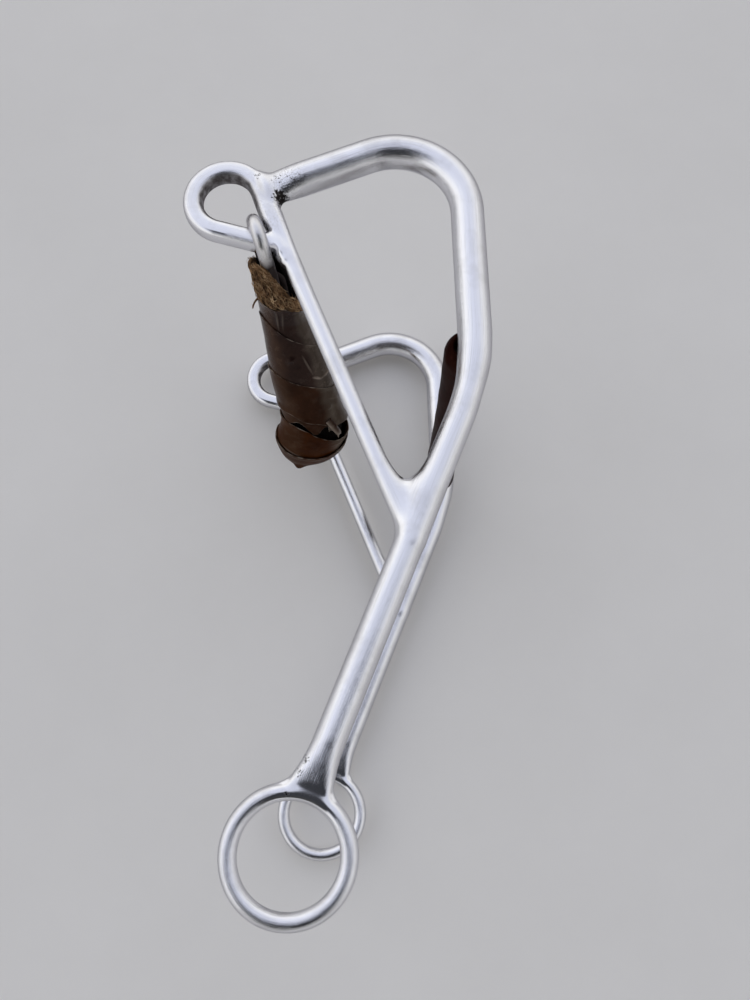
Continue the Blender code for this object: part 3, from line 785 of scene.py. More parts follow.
def strand(path, radius, sides=5):
    """Points and faces of a thin round strand."""
    angle = np.arange(sides) * math.tau / sides
    return sweep(path, radius * np.stack([np.cos(angle), np.sin(angle)], -1), np.linspace(1.0, 0.55, len(path)))


def gather(strands):
    """One list of points and faces from several strands."""
    points, faces, total = [], [], 0
    for strand_points, strand_faces in strands:
        points.append(strand_points)
        faces.extend(tuple(i + total for i in face) for face in strand_faces)
        total += len(strand_points)
    return np.concatenate(points), faces


def make_fibres(count=2300, standing=260):
    """Loose fibres on the felt's open ends, matted in curls over its outside and standing along its edge."""
    strands, tints = [], []
    steps = np.linspace(0.0, 1.0, 12)
    for i in range(count + standing):
        end = RNG.choice((-1.0, 1.0))
        angle = RNG.uniform(0, math.tau)
        rim = FELT_HALF + felt_rim(np.array(angle), 3 if end < 0 else 4)
        hem = 0.0003 - tape_top(np.array(angle)) if end < 0 else TAPE_HALF + 0.0008
        length = RNG.uniform(0.0022, 0.0060)
        curl = RNG.choice((-1.0, 1.0)) * RNG.uniform(2.0, 9.0) * steps
        turn = RNG.uniform(0, math.tau) + curl + np.cumsum(RNG.normal(0, 0.25, len(steps)))
        t = RNG.uniform(hem, rim)
        reach = rim + RNG.uniform(-0.0004, 0.0004)
        if i >= count:
            t = rim - 0.0008
            turn = np.cumsum(RNG.normal(0, 0.45, len(steps)))
            length = RNG.uniform(0.0012, 0.0024)
            reach = rim + RNG.uniform(0.0004, 0.0012)
        t = t + np.cumsum(np.cos(turn)) * length / len(steps)
        t = end * np.clip(t, hem, reach)
        angles = angle + np.cumsum(np.sin(turn)) * length / len(steps) / 0.0075
        proud = RNG.uniform(-0.0001, 0.0006) + 0.0009 * RNG.uniform(0, 1) * np.sin(steps * math.pi)
        path = on_sleeve(t, angles, felt_sizes(t)[0], proud)
        strands.append(strand(path, RNG.choice((0.00005, 0.00009, 0.00015), p=(0.45, 0.40, 0.15))))
        clump = 0.5 + 0.5 * lumps(path[6], 0.0011)
        tints.append(np.full(len(strands[-1][0]), 0.45 * RNG.uniform(0, 1) + 0.55 * clump))
    hook = 2.4 * steps
    loose_end = on_sleeve(-TAPE_HALF + 0.0006 + 0.0011 * (1.0 - np.cos(hook)), math.radians(84) + 0 * hook,
                          felt_sizes(-TAPE_HALF - 0 * steps)[0], 0.0030 * np.sin(hook * 0.62))
    strands.append(strand(loose_end, 0.00042))
    tints.append(np.full(len(strands[-1][0]), 0.2))
    fibres = add_piece("felt_fibres", *gather(strands))
    keep_values(fibres, "tint", np.concatenate(tints))
    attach(fibres, "curb")
    return fibres


def wound_line(at, seed, rough=0.0003, count=6, lean=WOUND_LEAN):
    """Line round the sleeve that leans as the tape is wound: its place for each angle."""
    return lambda angle: at - lean * np.sin(angle) + rough * waves(angle, seed, count)


def creases(place, t, angle, lines):
    """Height of the wrinkles of wound tape, soft all over and sharp along a few lines, and a mark along those sharp
    lines where a highlight is painted.
    """
    ridge = 1.0 - lumps(place, 0.0060) ** 2
    fine = 1.0 - lumps(place * np.array([1.0, 1.0, 0.6]), 0.0026) ** 2
    height = 0.00006 * ridge ** 4 + 0.00002 * fine ** 4 + 0.00012 * lumps(place, 0.011)
    mark = 0 * t
    round_ = angle * 0.008
    for start, end, rise in lines:
        start = np.array([start[0], math.radians(start[1]) * 0.008])
        run = np.array([end[0], math.radians(end[1]) * 0.008]) - start
        away = np.stack([t, (round_ + 0.008 * math.pi) % (0.016 * math.pi) - 0.008 * math.pi], -1) - start
        share = np.clip(away @ run / (run @ run), 0.0, 1.0)
        off = np.linalg.norm(away - share[..., None] * run, axis=-1)
        fold = np.exp(-(off / 0.00045) ** 2) * np.sin(math.pi * (0.15 + 0.7 * share))
        height = height + rise * fold
        # Painted highlight: the sharp fold lines get a mark that the tape is painted pale along.
        mark = np.maximum(mark, fold * rise / 0.0006)
    return height, mark


def make_tape(name, start, end, rows, lines, lift):
    """Turn of tape round the felt between two lines, raised by its lift, with pale worn edges, painted highlights
    along its creases, and marks for a painted sheen on its right side and painted light on its left side.
    """
    def proud(t, angle):
        place = on_sleeve(t, angle, felt_sizes(t)[0], 0 * t)
        return TAPE_THICKNESS + lift(t, angle) + creases(place, t, angle, lines)[0]

    tape = shell_piece(name, start, end, rows, 168, proud, lift)
    run = np.zeros(len(tape.data.vertices) * 3, np.float32)
    tape.data.attributes["run"].data.foreach_get("vector", run)
    t, angle = run[0::3], run[1::3] / 0.008
    place = on_sleeve(t, angle, felt_sizes(t)[0], 0 * t)
    rim = np.minimum(np.abs(t - start(angle)), np.abs(t - end(angle)))
    worn = (0.5 + 0.5 * lumps(place, 0.0016)) * np.exp(-(rim / 0.00018) ** 2)
    # The edge mark holds the pale worn edges and the painted highlights along the sharp creases.
    keep_values(tape, "edge", np.maximum(worn, creases(place, t, angle, lines)[1]))
    # Painted light: the right side of the sleeve gets a mark for a painted grey sheen, the left side one for painted
    # brown light.
    turned = np.degrees((angle + math.pi) % math.tau - math.pi) + 5.0 * waves(t * 300.0, len(name), 4)
    for mark, (first, last, end) in (("painted_sheen_side", (-12, -30, -130)), ("painted_lit_side", (22, 48, 130))):
        spread = smooth_step((turned - first) / (last - first)) * smooth_step((turned - end) / (last - end))
        keep_values(tape, mark, spread)
    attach(tape, "curb")
    return tape


def turn_lift(level, edge, torn_edge=None):
    """Lift of a turn that lies on the turns before it and stands up a little along its edge, more where torn."""
    def lift(t, angle):
        uneven = 1.0 + waves(angle, 30 + level, 9)
        raised = TAPE_LIFT + 0.0003 * level + 0.00014 * uneven * np.exp(-((t - edge(angle)) / 0.0009) ** 2)
        if torn_edge is not None:
            free = 1.0 - 0.8 * bump_at(angle, -85, 50)
            raised = raised + 0.0005 * free * uneven * np.exp(-((t - torn_edge(angle)) / 0.0016) ** 2)
        return raised
    return lift


def make_flap():
    """Torn end of the tape, rolled up in the gap over the fold."""
    share = np.linspace(0.0, 1.0, 16)
    t = -0.0138 + 0.0062 * share
    roll = on_sleeve(t, np.radians(-22 - 8 * share), felt_sizes(t)[0], 0.0004 + 0.0005 * np.sin(share * math.pi))
    curl = np.radians(np.linspace(150, 360, 18))
    arc = np.stack([np.cos(curl), np.sin(curl)], -1) * (1.0 + 0.10 * np.sin(3.0 * curl))[:, None]
    section = np.concatenate([0.00190 * arc, 0.00165 * arc[::-1]])
    points, faces = sweep(roll, section, 0.85 + 0.25 * share ** 2)
    torn = 0.0009 * np.sin(4.0 * np.concatenate([curl, curl[::-1]])) * share[:, None] ** 4
    points = points + torn.ravel()[:, None] * unit(roll[-1] - roll[-2])
    points = points + 0.00012 * lumps(points, 0.0008)[:, None]
    flap = add_piece("rolled_flap", points, faces)
    to_edge = 0.15 + 0.85 * np.abs(np.linspace(-1.0, 1.0, len(curl))) ** 3
    to_edge = np.maximum(np.concatenate([to_edge, to_edge[::-1]]), share[:, None] ** 5)
    keep_values(flap, "run", points)
    keep_values(flap, "edge", to_edge.ravel())
    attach(flap, "curb")
    return flap


def make_tapes():
    """Wound turns over both halves of the sleeve, and a loose band round the fold, torn from the right half."""
    right_tear = wound_line(-0.0146, 12, 0.0006, 9)
    left_tear = wound_line(0.0105, 13, 0.0006, 9, 0.0)
    right_edges = [wound_line(-0.0473, 21), wound_line(-0.0299, 22)]
    left_edges = [wound_line(0.0270, 23), wound_line(0.0440, 24)]
    band_top = wound_line(-0.0091, 15, 0.0006, 9, 0.0072)
    band_bottom = wound_line(0.0118, 16, 0.0006, 8, 0.0)
    wrap_end = wound_line(TAPE_HALF, 18, 0.0005, 6, 0.0)

    def strip_end(angle):
        strips = bump_at(angle, 60, 30) + bump_at(angle, 5, 16)
        return right_tear(angle) + 0.0048 * strips + 0.0005 * waves(angle, 19, 14)

    def lip(angle):
        return -0.0006 - 0.0042 * np.sin(angle) - 0.0035 * bump_at(angle, 110, 25) + 0.0005 * waves(angle, 17, 12)

    def past(line, by):
        return lambda angle: line(angle) + by

    def band_lift(t, angle):
        """The band stands out along its torn edge, and is full on the left."""
        flare = 0.0004 * np.exp(-((t - band_top(angle)) / 0.0020) ** 2)
        side = 0.0013 * bump_at(angle, 105, 40) * np.exp(-((t + 0.0065) / 0.005) ** 2)
        tip = 0.0006 * bump_at(angle, 50, 35) * np.exp(-((t - 0.004) / 0.004) ** 2)
        return TAPE_LIFT + flare + side + tip - squeeze(t, angle)

    def lap_lift(t, angle):
        """The last turn stands off the band along its edge, and is pinched to a nub at the bottom."""
        stand = 0.0003 * (1.0 + waves(angle, 41, 8)) * np.exp(-((t - lip(angle)) / 0.0014) ** 2)
        nub = 0.0015 * bump_at(angle, 41, 9) * np.exp(-((t - 0.0052) / 0.0013) ** 2)
        return band_lift(t, angle) + 0.0005 + stand + nub

    right_lines = [((-0.0580, 24), (-0.0510, 27), 0.00030), ((-0.0592, 8), (-0.0505, 18), 0.00025),
                   ((-0.0326, -16), (-0.0306, -30), 0.00055), ((-0.0306, -30), (-0.0312, -80), 0.00045),
                   ((-0.0420, -8), (-0.0330, -18), 0.00030), ((-0.0225, -30), (-0.0190, -62), 0.00020)]
    band_lines = [((-0.0060, 75), (-0.0020, 30), 0.00030), ((-0.0040, -20), (-0.0010, -60), 0.00030)]
    wraps = []
    right_starts = [tape_top] + right_edges
    right_ends = [past(edge, TAPE_LAP) for edge in right_edges] + [right_tear]
    for level, (start, end) in enumerate(zip(right_starts, right_ends)):
        name = "right_tape_turn_" + str(level + 1)
        lift = turn_lift(level, start, right_tear if level == 2 else None)
        wraps.append(make_tape(name, start, end, 110, right_lines, lift))
    left_starts = [left_tear] + [past(edge, -TAPE_LAP) for edge in left_edges]
    left_ends = left_edges + [wrap_end]
    for level, (start, end) in enumerate(zip(left_starts[::-1], left_ends[::-1])):
        name = "left_tape_turn_" + str(level + 1)
        wraps.append(make_tape(name, start, end, 110, [], turn_lift(level, end)))
    wraps.append(make_tape("torn_layer", past(right_tear, -0.003), strip_end, 60, [], turn_lift(0, strip_end)))
    wraps.append(make_flap())
    bands = [make_tape("fold_tape", band_top, band_bottom, 210, band_lines, band_lift),
             make_tape("fold_lap", lip, past(band_bottom, -0.001), 130, [], lap_lift)]
    for piece, node in ((wraps[0], "right_tape_wrap"), (wraps[3], "left_tape_wrap"), (bands[0], "centre_tape_band")):
        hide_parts(node)
    return wraps, bands


def oval_link(name, node, body, span, flat, inside, width, wire, fullness=LINK_FULLNESS):
    """Smooth oval link from one hooking place to the next, flat in the curb's plane or on edge to it."""
    ends, _, _ = LINE.at(np.array(span) - LINE.half)
    along = unit(ends[1] - ends[0])
    sideways = np.cross(LINE.normal, along)
    across, normal = (sideways, LINE.normal) if flat else (LINE.normal, -sideways)
    bend = (width + wire) / 2
    wire = wire * fullness
    straight = (inside - width) / 2
    path = []
    for way in (1.0, -1.0):
        for angle in np.linspace(-math.pi / 2, math.pi / 2, 25):
            path.append((way * (straight + bend * math.cos(angle)), way * bend * math.sin(angle), angle))
        for share in np.linspace(0, 1, 9)[1:-1]:
            path.append((way * straight * (1 - 2 * share), way * bend, math.pi / 2))
    sides = 24
    turn = np.arange(sides) * math.tau / sides
    points = []
    middle_place = ends.mean(0)
    for i, (x, y, _) in enumerate(path):
        before = np.array(path[i - 1][:2])
        after = np.array(path[(i + 1) % len(path)][:2])
        forward = unit(after - before)
        out = np.array([forward[1], -forward[0]])
        out3 = along * out[0] + across * out[1]
        centre = middle_place + along * x + across * y
        points.append(centre + wire / 2 * (np.cos(turn)[:, None] * out3 + np.sin(turn)[:, None] * normal))
    link = add_piece(name, np.concatenate(points), grid_faces(len(path), sides, close_rows=True))
    steps = np.repeat(np.arange(len(path)) * 0.0009, sides)
    keep_values(link, "run", np.stack([steps, np.tile(turn, len(path)), 0 * steps], -1))
    t = np.mean(span) - LINE.half + np.repeat([x for x, _, _ in path], sides)
    keep_values(link, "grain", 0 * steps + 0.12)
    # Painted shade: each link is painted darker towards the end that reaches into the felt sleeve, where it lies in
    # shade.
    keep_values(link, "painted_shade", 1.5 * smooth_step((LINE.half - np.abs(t) - 0.0015) / 0.0050))
    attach(link, body)
    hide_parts(node)
    return link


def make_links():
    """End links in the eyes, and the chain between them."""
    length = 2 * LINE.half
    width = EYE_ROD_DIAMETER + 2 * END_LINK_SLACK
    ends = [
        oval_link("right_eye_link", "right_end_link", "right_link", (END_LINK_TOP - END_LINK_STRETCH, END_LINK_BOTTOM), True,
                  END_LINK_INSIDE + END_LINK_STRETCH, width, END_LINK_WIRE, END_LINK_FULLNESS),
        oval_link("left_eye_link", "left_end_link", "left_link",
                  (length - END_LINK_BOTTOM, length - END_LINK_TOP), True,
                  END_LINK_INSIDE, width, END_LINK_WIRE),
    ]
    first = END_LINK_BOTTOM - (END_LINK_WIRE + CHAIN_WIRE) / 2 - CHAIN_PLAY
    hold = CHAIN_WIRE + CHAIN_PLAY
    span = (length - 2 * first + (CHAIN_LINKS - 1) * hold) / CHAIN_LINKS
    chain = []
    for i in range(CHAIN_LINKS):
        start = first + i * (span - hold)
        name = "curb_chain_" + str(i + 1)
        chain.append(oval_link(name, "chain_link_" + str(i + 1), "curb", (start, start + span), i % 2 == 1,
                               span - CHAIN_WIRE, END_LINK_WIRE + 2 * CHAIN_PLAY, CHAIN_WIRE))
    return ends, chain


# Materials

def add_node(tree, kind, **values):
    """Shader node with its settings and input values."""
    node = tree.nodes.new("ShaderNode" + kind)
    for name, value in values.items():
        if hasattr(node, name):
            setattr(node, name, value)
        else:
            node.inputs[name.replace("_", " ")].default_value = value
    return node


def join(tree, source, target):
    """Link an output to an input."""
    tree.links.new(source, target)


def attribute(tree, name):
    """Value kept on the piece's points."""
    return add_node(tree, "Attribute", attribute_name=name)


def mapped(tree, value, low, high, to_low=0.0, to_high=1.0):
    """Value stretched from one range to another, held at its ends."""
    node = add_node(tree, "MapRange", clamp=True)
    for name, number in zip(("From Min", "From Max", "To Min", "To Max"), (low, high, to_low, to_high)):
        node.inputs[name].default_value = number
    join(tree, value, node.inputs["Value"])
    return node.outputs["Result"]


def math_node(tree, operation, a, b):
    """Sum, product or other operation on two values."""
    node = add_node(tree, "Math", operation=operation)
    for value, socket in zip((a, b), node.inputs):
        if isinstance(value, (int, float)):
            socket.default_value = value
        else:
            join(tree, value, socket)
    return node.outputs["Value"]


def mixed(tree, share, a, b):
    """Colour between two colours."""
    node = add_node(tree, "Mix", data_type="RGBA")
    for value, socket in zip((share, a, b), (node.inputs[0], node.inputs[6], node.inputs[7])):
        if isinstance(value, tuple):
            socket.default_value = (*value, 1.0)
        elif isinstance(value, (int, float)):
            socket.default_value = value
        else:
            join(tree, value, socket)
    return node.outputs[2]


def new_group(name, inputs, outputs):
    """Empty shader node group with named sockets."""
    tree = bpy.data.node_groups.new(name, "ShaderNodeTree")
    for socket, kind, value in inputs:
        made = tree.interface.new_socket(socket, in_out="INPUT", socket_type="NodeSocket" + kind)
        if value is not None:
            made.default_value = value
    for socket, kind in outputs:
        tree.interface.new_socket(socket, in_out="OUTPUT", socket_type="NodeSocket" + kind)
    return tree, tree.nodes.new("NodeGroupInput"), tree.nodes.new("NodeGroupOutput")


def patches_group():
    """Patchy mask: blotches of a given size, cut at a level."""
    tree, given, result = new_group("patches", [("Place", "Vector", None), ("Size", "Float", 1.0),
                                                ("Level", "Float", 0.5), ("Softness", "Float", 0.1)],
                                    [("Mask", "Float")])
    noise = add_node(tree, "TexNoise", Detail=6.0, Roughness=0.62)
    join(tree, given.outputs["Place"], noise.inputs["Vector"])
    join(tree, given.outputs["Size"], noise.inputs["Scale"])
    over = math_node(tree, "SUBTRACT", noise.outputs["Fac"], given.outputs["Level"])
    join(tree, mapped(tree, math_node(tree, "DIVIDE", over, given.outputs["Softness"]), 0.0, 1.0),
         result.inputs["Mask"])
    return tree


def scratches_group():
    """Fine scratches along a rod, from its run and turn."""
    tree, given, result = new_group("lengthwise_scratches", [("Run", "Vector", None), ("Fineness", "Float", 1.0)],
                                    [("Height", "Float"), ("Mask", "Float")])
    stretch = add_node(tree, "VectorMath", operation="MULTIPLY")
    stretch.inputs[1].default_value = (45.0, 14.0, 40.0)
    join(tree, given.outputs["Run"], stretch.inputs[0])
    scaled = add_node(tree, "VectorMath", operation="SCALE")
    join(tree, stretch.outputs[0], scaled.inputs[0])
    join(tree, given.outputs["Fineness"], scaled.inputs["Scale"])
    noise = add_node(tree, "TexNoise", Scale=1.0, Detail=5.0, Roughness=0.7)
    join(tree, scaled.outputs[0], noise.inputs["Vector"])
    join(tree, noise.outputs["Fac"], result.inputs["Height"])
    join(tree, mapped(tree, noise.outputs["Fac"], 0.52, 0.72), result.inputs["Mask"])
    return tree


def mottle_group():
    """Two colours mottled together over two sizes of blotch."""
    tree, given, result = new_group("mottle", [("Place", "Vector", None), ("Size", "Float", 1.0),
                                               ("Dark", "Color", None), ("Light", "Color", None)],
                                    [("Color", "Color"), ("Share", "Float")])
    noise = add_node(tree, "TexNoise", Detail=8.0, Roughness=0.68)
    join(tree, given.outputs["Place"], noise.inputs["Vector"])
    join(tree, given.outputs["Size"], noise.inputs["Scale"])
    share = mapped(tree, noise.outputs["Fac"], 0.32, 0.68)
    join(tree, mixed(tree, share, given.outputs["Dark"], given.outputs["Light"]), result.inputs["Color"])
    join(tree, share, result.inputs["Share"])
    return tree


PATCHES = patches_group()
SCRATCHES = scratches_group()
MOTTLE = mottle_group()


def new_material(name):
    """Material with its tree, its main shader and the place of each surface point."""
    material = bpy.data.materials.new(name)
    material.use_nodes = True
    tree = material.node_tree
    place = add_node(tree, "TexCoord").outputs["Object"]
    return material, tree, tree.nodes["Principled BSDF"], place


def use_group(tree, group, place, **values):
    """Group placed in a material, with its own values."""
    node = tree.nodes.new("ShaderNodeGroup")
    node.node_tree = group
    join(tree, place, node.inputs[0])
    for name, value in values.items():
        node.inputs[name].default_value = (*value, 1.0) if isinstance(value, tuple) else value
    return node


def bumped(tree, shader, layers):
    """Chain of bumps on a shader: height, strength and depth of each."""
    normal = None
    for height, strength, depth in layers:
        bump = add_node(tree, "Bump", Strength=strength, Distance=depth)
        join(tree, height, bump.inputs["Height"])
        if normal is not None:
            join(tree, normal, bump.inputs["Normal"])
        normal = bump.outputs["Normal"]
    join(tree, normal, shader.inputs["Normal"])


def steel_material(name, bright, dull, haze, rough):
    """Polished worn steel: lengthwise scratches, hazy patches, grain near welds and burnt spots, and painted shade
    where a piece marks it.
    """
    material, tree, shader, place = new_material(name)
    run = attribute(tree, "run").outputs["Vector"]
    marks = ("grain", "pits", "burn", "painted_shade", "seam")
    grain, pit, burn, painted_shade, seam = [attribute(tree, mark).outputs["Fac"] for mark in marks]
    shader.inputs["Metallic"].default_value = 1.0
    shader.inputs["Specular Tint"].default_value = (0.60, 0.59, 0.61, 1.0)
    scratch = use_group(tree, SCRATCHES, run, Fineness=1.0)
    hazy = use_group(tree, PATCHES, place, Size=70.0, Level=0.5, Softness=0.22)
    fine = use_group(tree, PATCHES, place, Size=2600.0, Level=0.47, Softness=0.22)
    pits = use_group(tree, PATCHES, place, Size=1400.0, Level=0.30, Softness=0.40)
    scale = use_group(tree, PATCHES, place, Size=1100.0, Level=0.30, Softness=0.40)
    # Noise that breaks up the painted shade.
    shade_breakup = use_group(tree, PATCHES, place, Size=420.0, Level=0.36, Softness=0.25)
    specks = use_group(tree, PATCHES, place, Size=900.0, Level=0.755, Softness=0.03)
    unblended = math_node(tree, "SUBTRACT", 1.0, seam)
    scratched = math_node(tree, "MULTIPLY", scratch.outputs["Mask"], unblended)
    ridges = math_node(tree, "MULTIPLY", math_node(tree, "SUBTRACT", scratch.outputs["Height"], 0.5), unblended)
    burnt = mapped(tree, math_node(tree, "ADD", burn, scale.outputs["Mask"]), 0.92, 1.22)
    burnt = math_node(tree, "MULTIPLY", burnt, mapped(tree, burn, 0.02, 0.15))
    pitted = mapped(tree, math_node(tree, "ADD", math_node(tree, "MULTIPLY", pit, 0.3), pits.outputs["Mask"]), 0.82, 0.96)
    pitted = math_node(tree, "MULTIPLY", pitted, mapped(tree, pit, 0.02, 0.30, 0.0, 0.85))
    dark = math_node(tree, "MAXIMUM", math_node(tree, "MAXIMUM", burnt, pitted),
                     math_node(tree, "MULTIPLY", specks.outputs["Mask"], 0.4))
    grainy = math_node(tree, "MULTIPLY", fine.outputs["Mask"], mapped(tree, grain, 0.05, 0.6, 0.0, 0.8))
    dulled = math_node(tree, "MAXIMUM", grainy, math_node(tree, "MULTIPLY", hazy.outputs["Mask"], haze))
    streaked = mixed(tree, mapped(tree, scratched, 0.0, 1.0, 0.0, 0.45), bright, dull)
    # Painted shade: where the piece's shade mark is set, broken up by noise, the steel is painted near-black (0.060,
    # 0.048, 0.046) and made rougher.
    painted_shade_share = math_node(tree, "MULTIPLY", painted_shade, mapped(tree, shade_breakup.outputs["Mask"], 0.0, 1.0, 0.60, 0.92))
    colour = mixed(tree, painted_shade_share, mixed(tree, dulled, streaked, dull), (0.060, 0.048, 0.046))
    join(tree, mixed(tree, dark, colour, (0.022, 0.019, 0.018)), shader.inputs["Base Color"])
    worn = math_node(tree, "ADD", mapped(tree, scratched, 0.0, 1.0, rough, rough + 0.10),
                     mapped(tree, dulled, 0.0, 1.0, 0.0, 0.16))
    dark_and_shaded = math_node(tree, "MULTIPLY", math_node(tree, "MAXIMUM", dark, painted_shade_share), 0.35)
    join(tree, math_node(tree, "ADD", worn, dark_and_shaded), shader.inputs["Roughness"])
    bumped(tree, shader, [(ridges, 0.30, 0.0003), (grainy, 0.12, 0.0001)])
    return material


def rubber_material():
    """Hard dark rubber, glossy, with scuffs and faint unevenness."""
    material, tree, shader, place = new_material("hard_rubber")
    tone = use_group(tree, MOTTLE, place, Size=160.0, Dark=(0.010, 0.0028, 0.0020), Light=(0.024, 0.0065, 0.0045))
    scuffs = use_group(tree, PATCHES, place, Size=420.0, Level=0.58, Softness=0.12)
    join(tree, mixed(tree, mapped(tree, scuffs.outputs["Mask"], 0, 1, 0, 0.25), tone.outputs["Color"],
                     (0.075, 0.028, 0.020)), shader.inputs["Base Color"])
    join(tree, mapped(tree, scuffs.outputs["Mask"], 0, 1, 0.34, 0.52), shader.inputs["Roughness"])
    shader.inputs["Specular IOR Level"].default_value = 0.008
    shader.inputs["Specular Tint"].default_value = (1.0, 0.55, 0.45, 1.0)
    bumped(tree, shader, [(tone.outputs["Share"], 0.12, 0.0004), (scuffs.outputs["Mask"], 0.08, 0.0002)])
    return material


def tape_material(name, dark, light, dust_and_highlight_colour, gloss, sheen, rough):
    """Thin plastic tape: dark, glossy and dusty, with a painted sheen on its right side, painted light on its left
    side, pale worn edges of its turns and painted highlights along its creases.
    """
    material, tree, shader, place = new_material(name)
    run = attribute(tree, "run").outputs["Vector"]
    edge = attribute(tree, "edge").outputs["Fac"]
    tone = use_group(tree, MOTTLE, place, Size=110.0, Dark=dark, Light=light)
    dust = use_group(tree, PATCHES, place, Size=260.0, Level=0.50, Softness=0.3)
    # Painted sheen and light: the tape is painted grey on its right side and lighter brown on its left side, broken
    # up by the dust.
    painted_sheen_side, painted_lit_side = [math_node(tree, "MULTIPLY", attribute(tree, mark).outputs["Fac"],
                               mapped(tree, dust.outputs["Mask"], 0, 1, 0.55, 1.0)) for mark in ("painted_sheen_side", "painted_lit_side")]
    sides = mixed(tree, painted_sheen_side, mixed(tree, painted_lit_side, tone.outputs["Color"], (0.062, 0.031, 0.017)),
                  (0.096, 0.078, 0.060))
    dusty = mixed(tree, mapped(tree, dust.outputs["Mask"], 0, 1, 0, 0.08), sides, dust_and_highlight_colour)
    # Painted highlight: the crease marks are painted pale in the dust colour, as are the worn edges of the turns.
    join(tree, mixed(tree, mapped(tree, edge, 0.20, 0.90, 0.0, 0.9), dusty, dust_and_highlight_colour), shader.inputs["Base Color"])
    join(tree, mapped(tree, dust.outputs["Mask"], 0, 1, rough, rough + 0.18), shader.inputs["Roughness"])
    shader.inputs["Specular IOR Level"].default_value = gloss
    shader.inputs["Specular Tint"].default_value = (*sheen, 1.0)
    stretch = use_group(tree, SCRATCHES, run, Fineness=1.6)
    bumped(tree, shader, [(stretch.outputs["Height"], 0.18, 0.0003), (tone.outputs["Share"], 0.15, 0.0006)])
    return material


def felt_material():
    """Matted brown felt, painted near-black as shade inside the sleeve, round the fold and on the rim beside the
    limb.
    """
    material, tree, shader, place = new_material("matted_felt")
    painted_felt_shade = attribute(tree, "painted_felt_shade").outputs["Fac"]
    loose = attribute(tree, "loose").outputs["Fac"]
    tone = use_group(tree, MOTTLE, place, Size=620.0, Dark=(0.010, 0.005, 0.003), Light=(0.11, 0.062, 0.034))
    tufts = use_group(tree, PATCHES, place, Size=1600.0, Level=0.48, Softness=0.2)
    matted = mixed(tree, mapped(tree, tufts.outputs["Mask"], 0, 1, 0, 0.4), tone.outputs["Color"],
                   (0.26, 0.16, 0.09))
    matted = mixed(tree, mapped(tree, loose, 0, 1, 0, 0.40), matted, (0.42, 0.25, 0.12))
    # Painted shade: the marked felt is painted near-black.
    join(tree, mixed(tree, painted_felt_shade, matted, (0.006, 0.004, 0.003)), shader.inputs["Base Color"])
    shader.inputs["Roughness"].default_value = 0.95
    shader.inputs["Specular IOR Level"].default_value = 0.1
    bumped(tree, shader, [(tone.outputs["Share"], 0.9, 0.0008), (tufts.outputs["Mask"], 0.6, 0.0004)])
    return material


def fibre_material():
    """Single fibres, from dark brown to pale straw."""
    material, tree, shader, place = new_material("felt_fibre")
    tint = attribute(tree, "tint").outputs["Fac"]
    tone = use_group(tree, MOTTLE, place, Size=700.0, Dark=(0.068, 0.036, 0.016), Light=(0.50, 0.29, 0.145))
    pale = mapped(tree, tint, 0.50, 0.80, 0.0, 0.95)
    deep = mapped(tree, tint, 0.12, 0.45, 0.75, 0.0)
    shaded = mixed(tree, deep, tone.outputs["Color"], (0.020, 0.011, 0.006))
    join(tree, mixed(tree, pale, shaded, (0.68, 0.48, 0.28)), shader.inputs["Base Color"])
    shader.inputs["Roughness"].default_value = 0.8
    shader.inputs["Specular IOR Level"].default_value = 0.1
    return material


def dress(piece, material):
    """Give a piece one material."""
    piece.data.materials.clear()
    piece.data.materials.append(material)


# Stage, light and camera

BRIGHT_SIDE = (-0.53, 0.53, 0.66)


def make_floor():
    """Plain pale floor that the bit lies on."""
    size = 3.0
    floor = add_piece("floor", [(-size, -size, 0), (size, -size, 0), (size, size, 0), (-size, size, 0)],
                      [(0, 1, 2, 3)], smooth=False)
    material, tree, shader, place = new_material("pale_floor")
    tone = use_group(tree, MOTTLE, place, Size=6.0, Dark=(0.75, 0.73, 0.70), Light=(0.79, 0.77, 0.74))
    join(tree, tone.outputs["Color"], shader.inputs["Base Color"])
    shader.inputs["Roughness"].default_value = 0.7
    dress(floor, material)


def make_light():
    """Plain soft studio light: a bright room, pale blue overhead, with a dark screen high on one side."""
    world = bpy.data.worlds.new("soft_room")
    world.use_nodes = True
    tree = world.node_tree
    background = tree.nodes["Background"]
    direction = add_node(tree, "TexCoord").outputs["Generated"]
    split = add_node(tree, "SeparateXYZ")
    join(tree, direction, split.inputs[0])
    ramp = add_node(tree, "ValToRGB")
    stops = ramp.color_ramp.elements
    stops[0].position, stops[0].color = 0.0, (0.68, 0.68, 0.68, 1.0)
    stops[1].position, stops[1].color = 1.0, (0.63, 0.66, 0.77, 1.0)
    for height, colour in ((0.05, (0.62, 0.62, 0.63, 1.0)), (0.13, (0.93, 0.93, 0.93, 1.0)),
                           (0.45, (1.0, 1.0, 1.0, 1.0)), (0.62, (0.88, 0.90, 0.95, 1.0)),
                           (0.80, (0.70, 0.73, 0.84, 1.0))):
        stops.new(height).color = colour
    join(tree, split.outputs["Z"], ramp.inputs["Fac"])
    join(tree, ramp.outputs["Color"], background.inputs["Color"])
    behind = mapped(tree, split.outputs["Y"], -0.15, -0.02, 1.0, 0.0)
    narrow = mapped(tree, math_node(tree, "ABSOLUTE", split.outputs["X"], 0.0), 0.40, 0.62, 1.0, 0.0)
    high = mapped(tree, split.outputs["Z"], 0.20, 0.34)
    shaded = math_node(tree, "MULTIPLY", math_node(tree, "MULTIPLY", behind, narrow), high)
    key = add_node(tree, "VectorMath", operation="DOT_PRODUCT")
    key.inputs[1].default_value = BRIGHT_SIDE
    join(tree, direction, key.inputs[0])
    bright = mapped(tree, key.outputs["Value"], -0.2, 1.0, 0.85, 1.22)
    join(tree, math_node(tree, "MULTIPLY", mapped(tree, shaded, 0.0, 1.0, 1.0, 0.06), bright),
         background.inputs["Strength"])
    bpy.context.scene.world = world


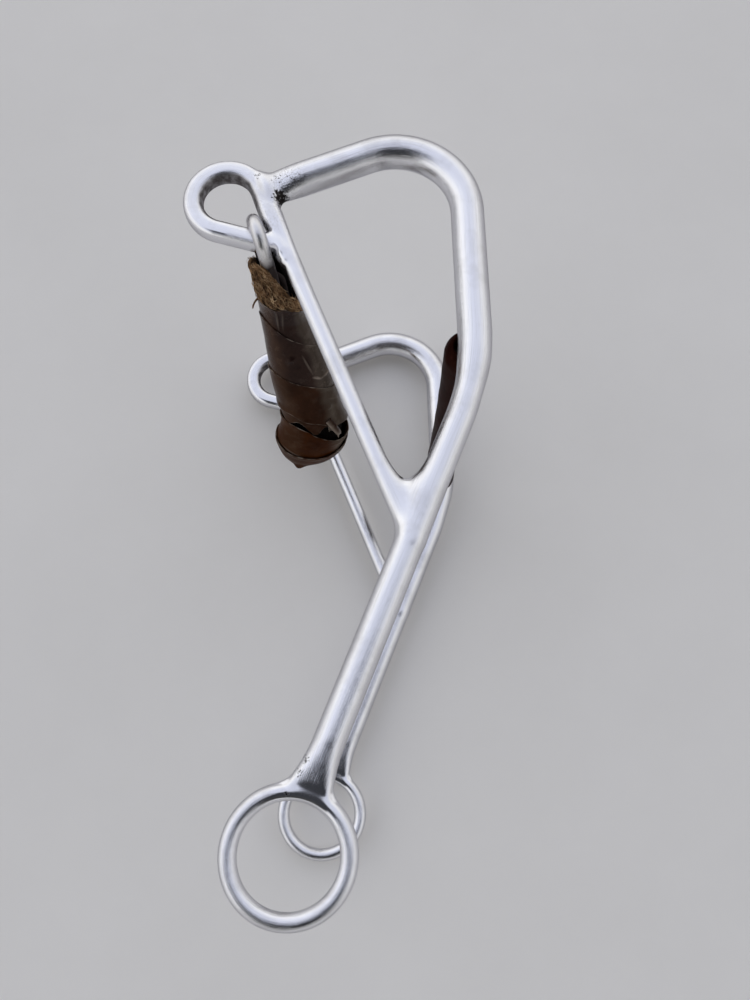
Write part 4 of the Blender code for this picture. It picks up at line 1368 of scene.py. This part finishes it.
def make_camera():
    """Camera at the photograph's angle, placed from the right cheek's elbow."""
    data = bpy.data.cameras.new("camera")
    data.sensor_width = 36.0
    data.lens = 31.32
    data.clip_start = 0.01
    camera = bpy.data.objects.new("camera", data)
    from_elbow = np.array([-0.02890, -0.10307, 0.23215])
    camera.location = np.array([*ELBOW_PLACE, RIGHT_PLANE]) + from_elbow
    look = Vector((-0.00286, 0.27013, -0.96282))
    up = Vector((0.0008, 0.96282, 0.27013))
    right = look.cross(up).normalized()
    camera.rotation_euler = Matrix((right, right.cross(look), -look)).transposed().to_euler()
    bpy.context.scene.collection.objects.link(camera)
    bpy.context.scene.camera = camera


def build():
    """All pieces, their finishes and the stage."""
    bright = steel_material("polished_steel", (0.80, 0.80, 0.83), (0.56, 0.55, 0.56), 0.5, 0.13)
    link_steel = steel_material("link_steel", (0.70, 0.69, 0.70), (0.42, 0.40, 0.39), 0.7, 0.16)
    # Painted shade: the chain inside the felt sleeve gets a near-black steel that stands for the shade in the sleeve.
    shaded_chain_steel = steel_material("shaded_chain_steel", (0.035, 0.028, 0.024), (0.014, 0.011, 0.009), 1.0, 0.50)
    skin = make_cheek_skin()
    for side, plane in (("right", RIGHT_PLANE), ("left", LEFT_PLANE)):
        dress(make_cheek(side, plane, skin), bright)
    dress(make_core(), bright)
    dress(make_cover(), rubber_material())
    ends, chain = make_links()
    for links, finish in ((ends, link_steel), (chain, shaded_chain_steel)):
        for link in links:
            dress(link, finish)
    dress(make_felt(), felt_material())
    dress(make_fibres(), fibre_material())
    wraps, bands = make_tapes()
    # This dust colour is also the painted highlight along the tape's creases.
    dust = (0.25, 0.205, 0.165)
    grey_tape = tape_material("wrap_tape", (0.008, 0.0034, 0.0034), (0.024, 0.0105, 0.0080), dust,
                              0.20, (1.0, 0.72, 0.60), 0.24)
    worn_tape = tape_material("worn_tape", (0.015, 0.0046, 0.0020), (0.036, 0.0130, 0.0060), dust,
                              0.10, (1.0, 0.68, 0.48), 0.28)
    brown_tape = tape_material("band_tape", (0.022, 0.0050, 0.0010), (0.056, 0.0165, 0.0038), dust,
                               0.03, (1.0, 0.68, 0.42), 0.40)
    for pieces, tape in ((wraps, grey_tape), (wraps[2:3] + wraps[6:], worn_tape), (bands, brown_tape)):
        for piece in pieces:
            dress(piece, tape)
    make_floor()
    make_light()
    make_camera()


build()
bpy.context.scene.view_settings.view_transform = "Standard"
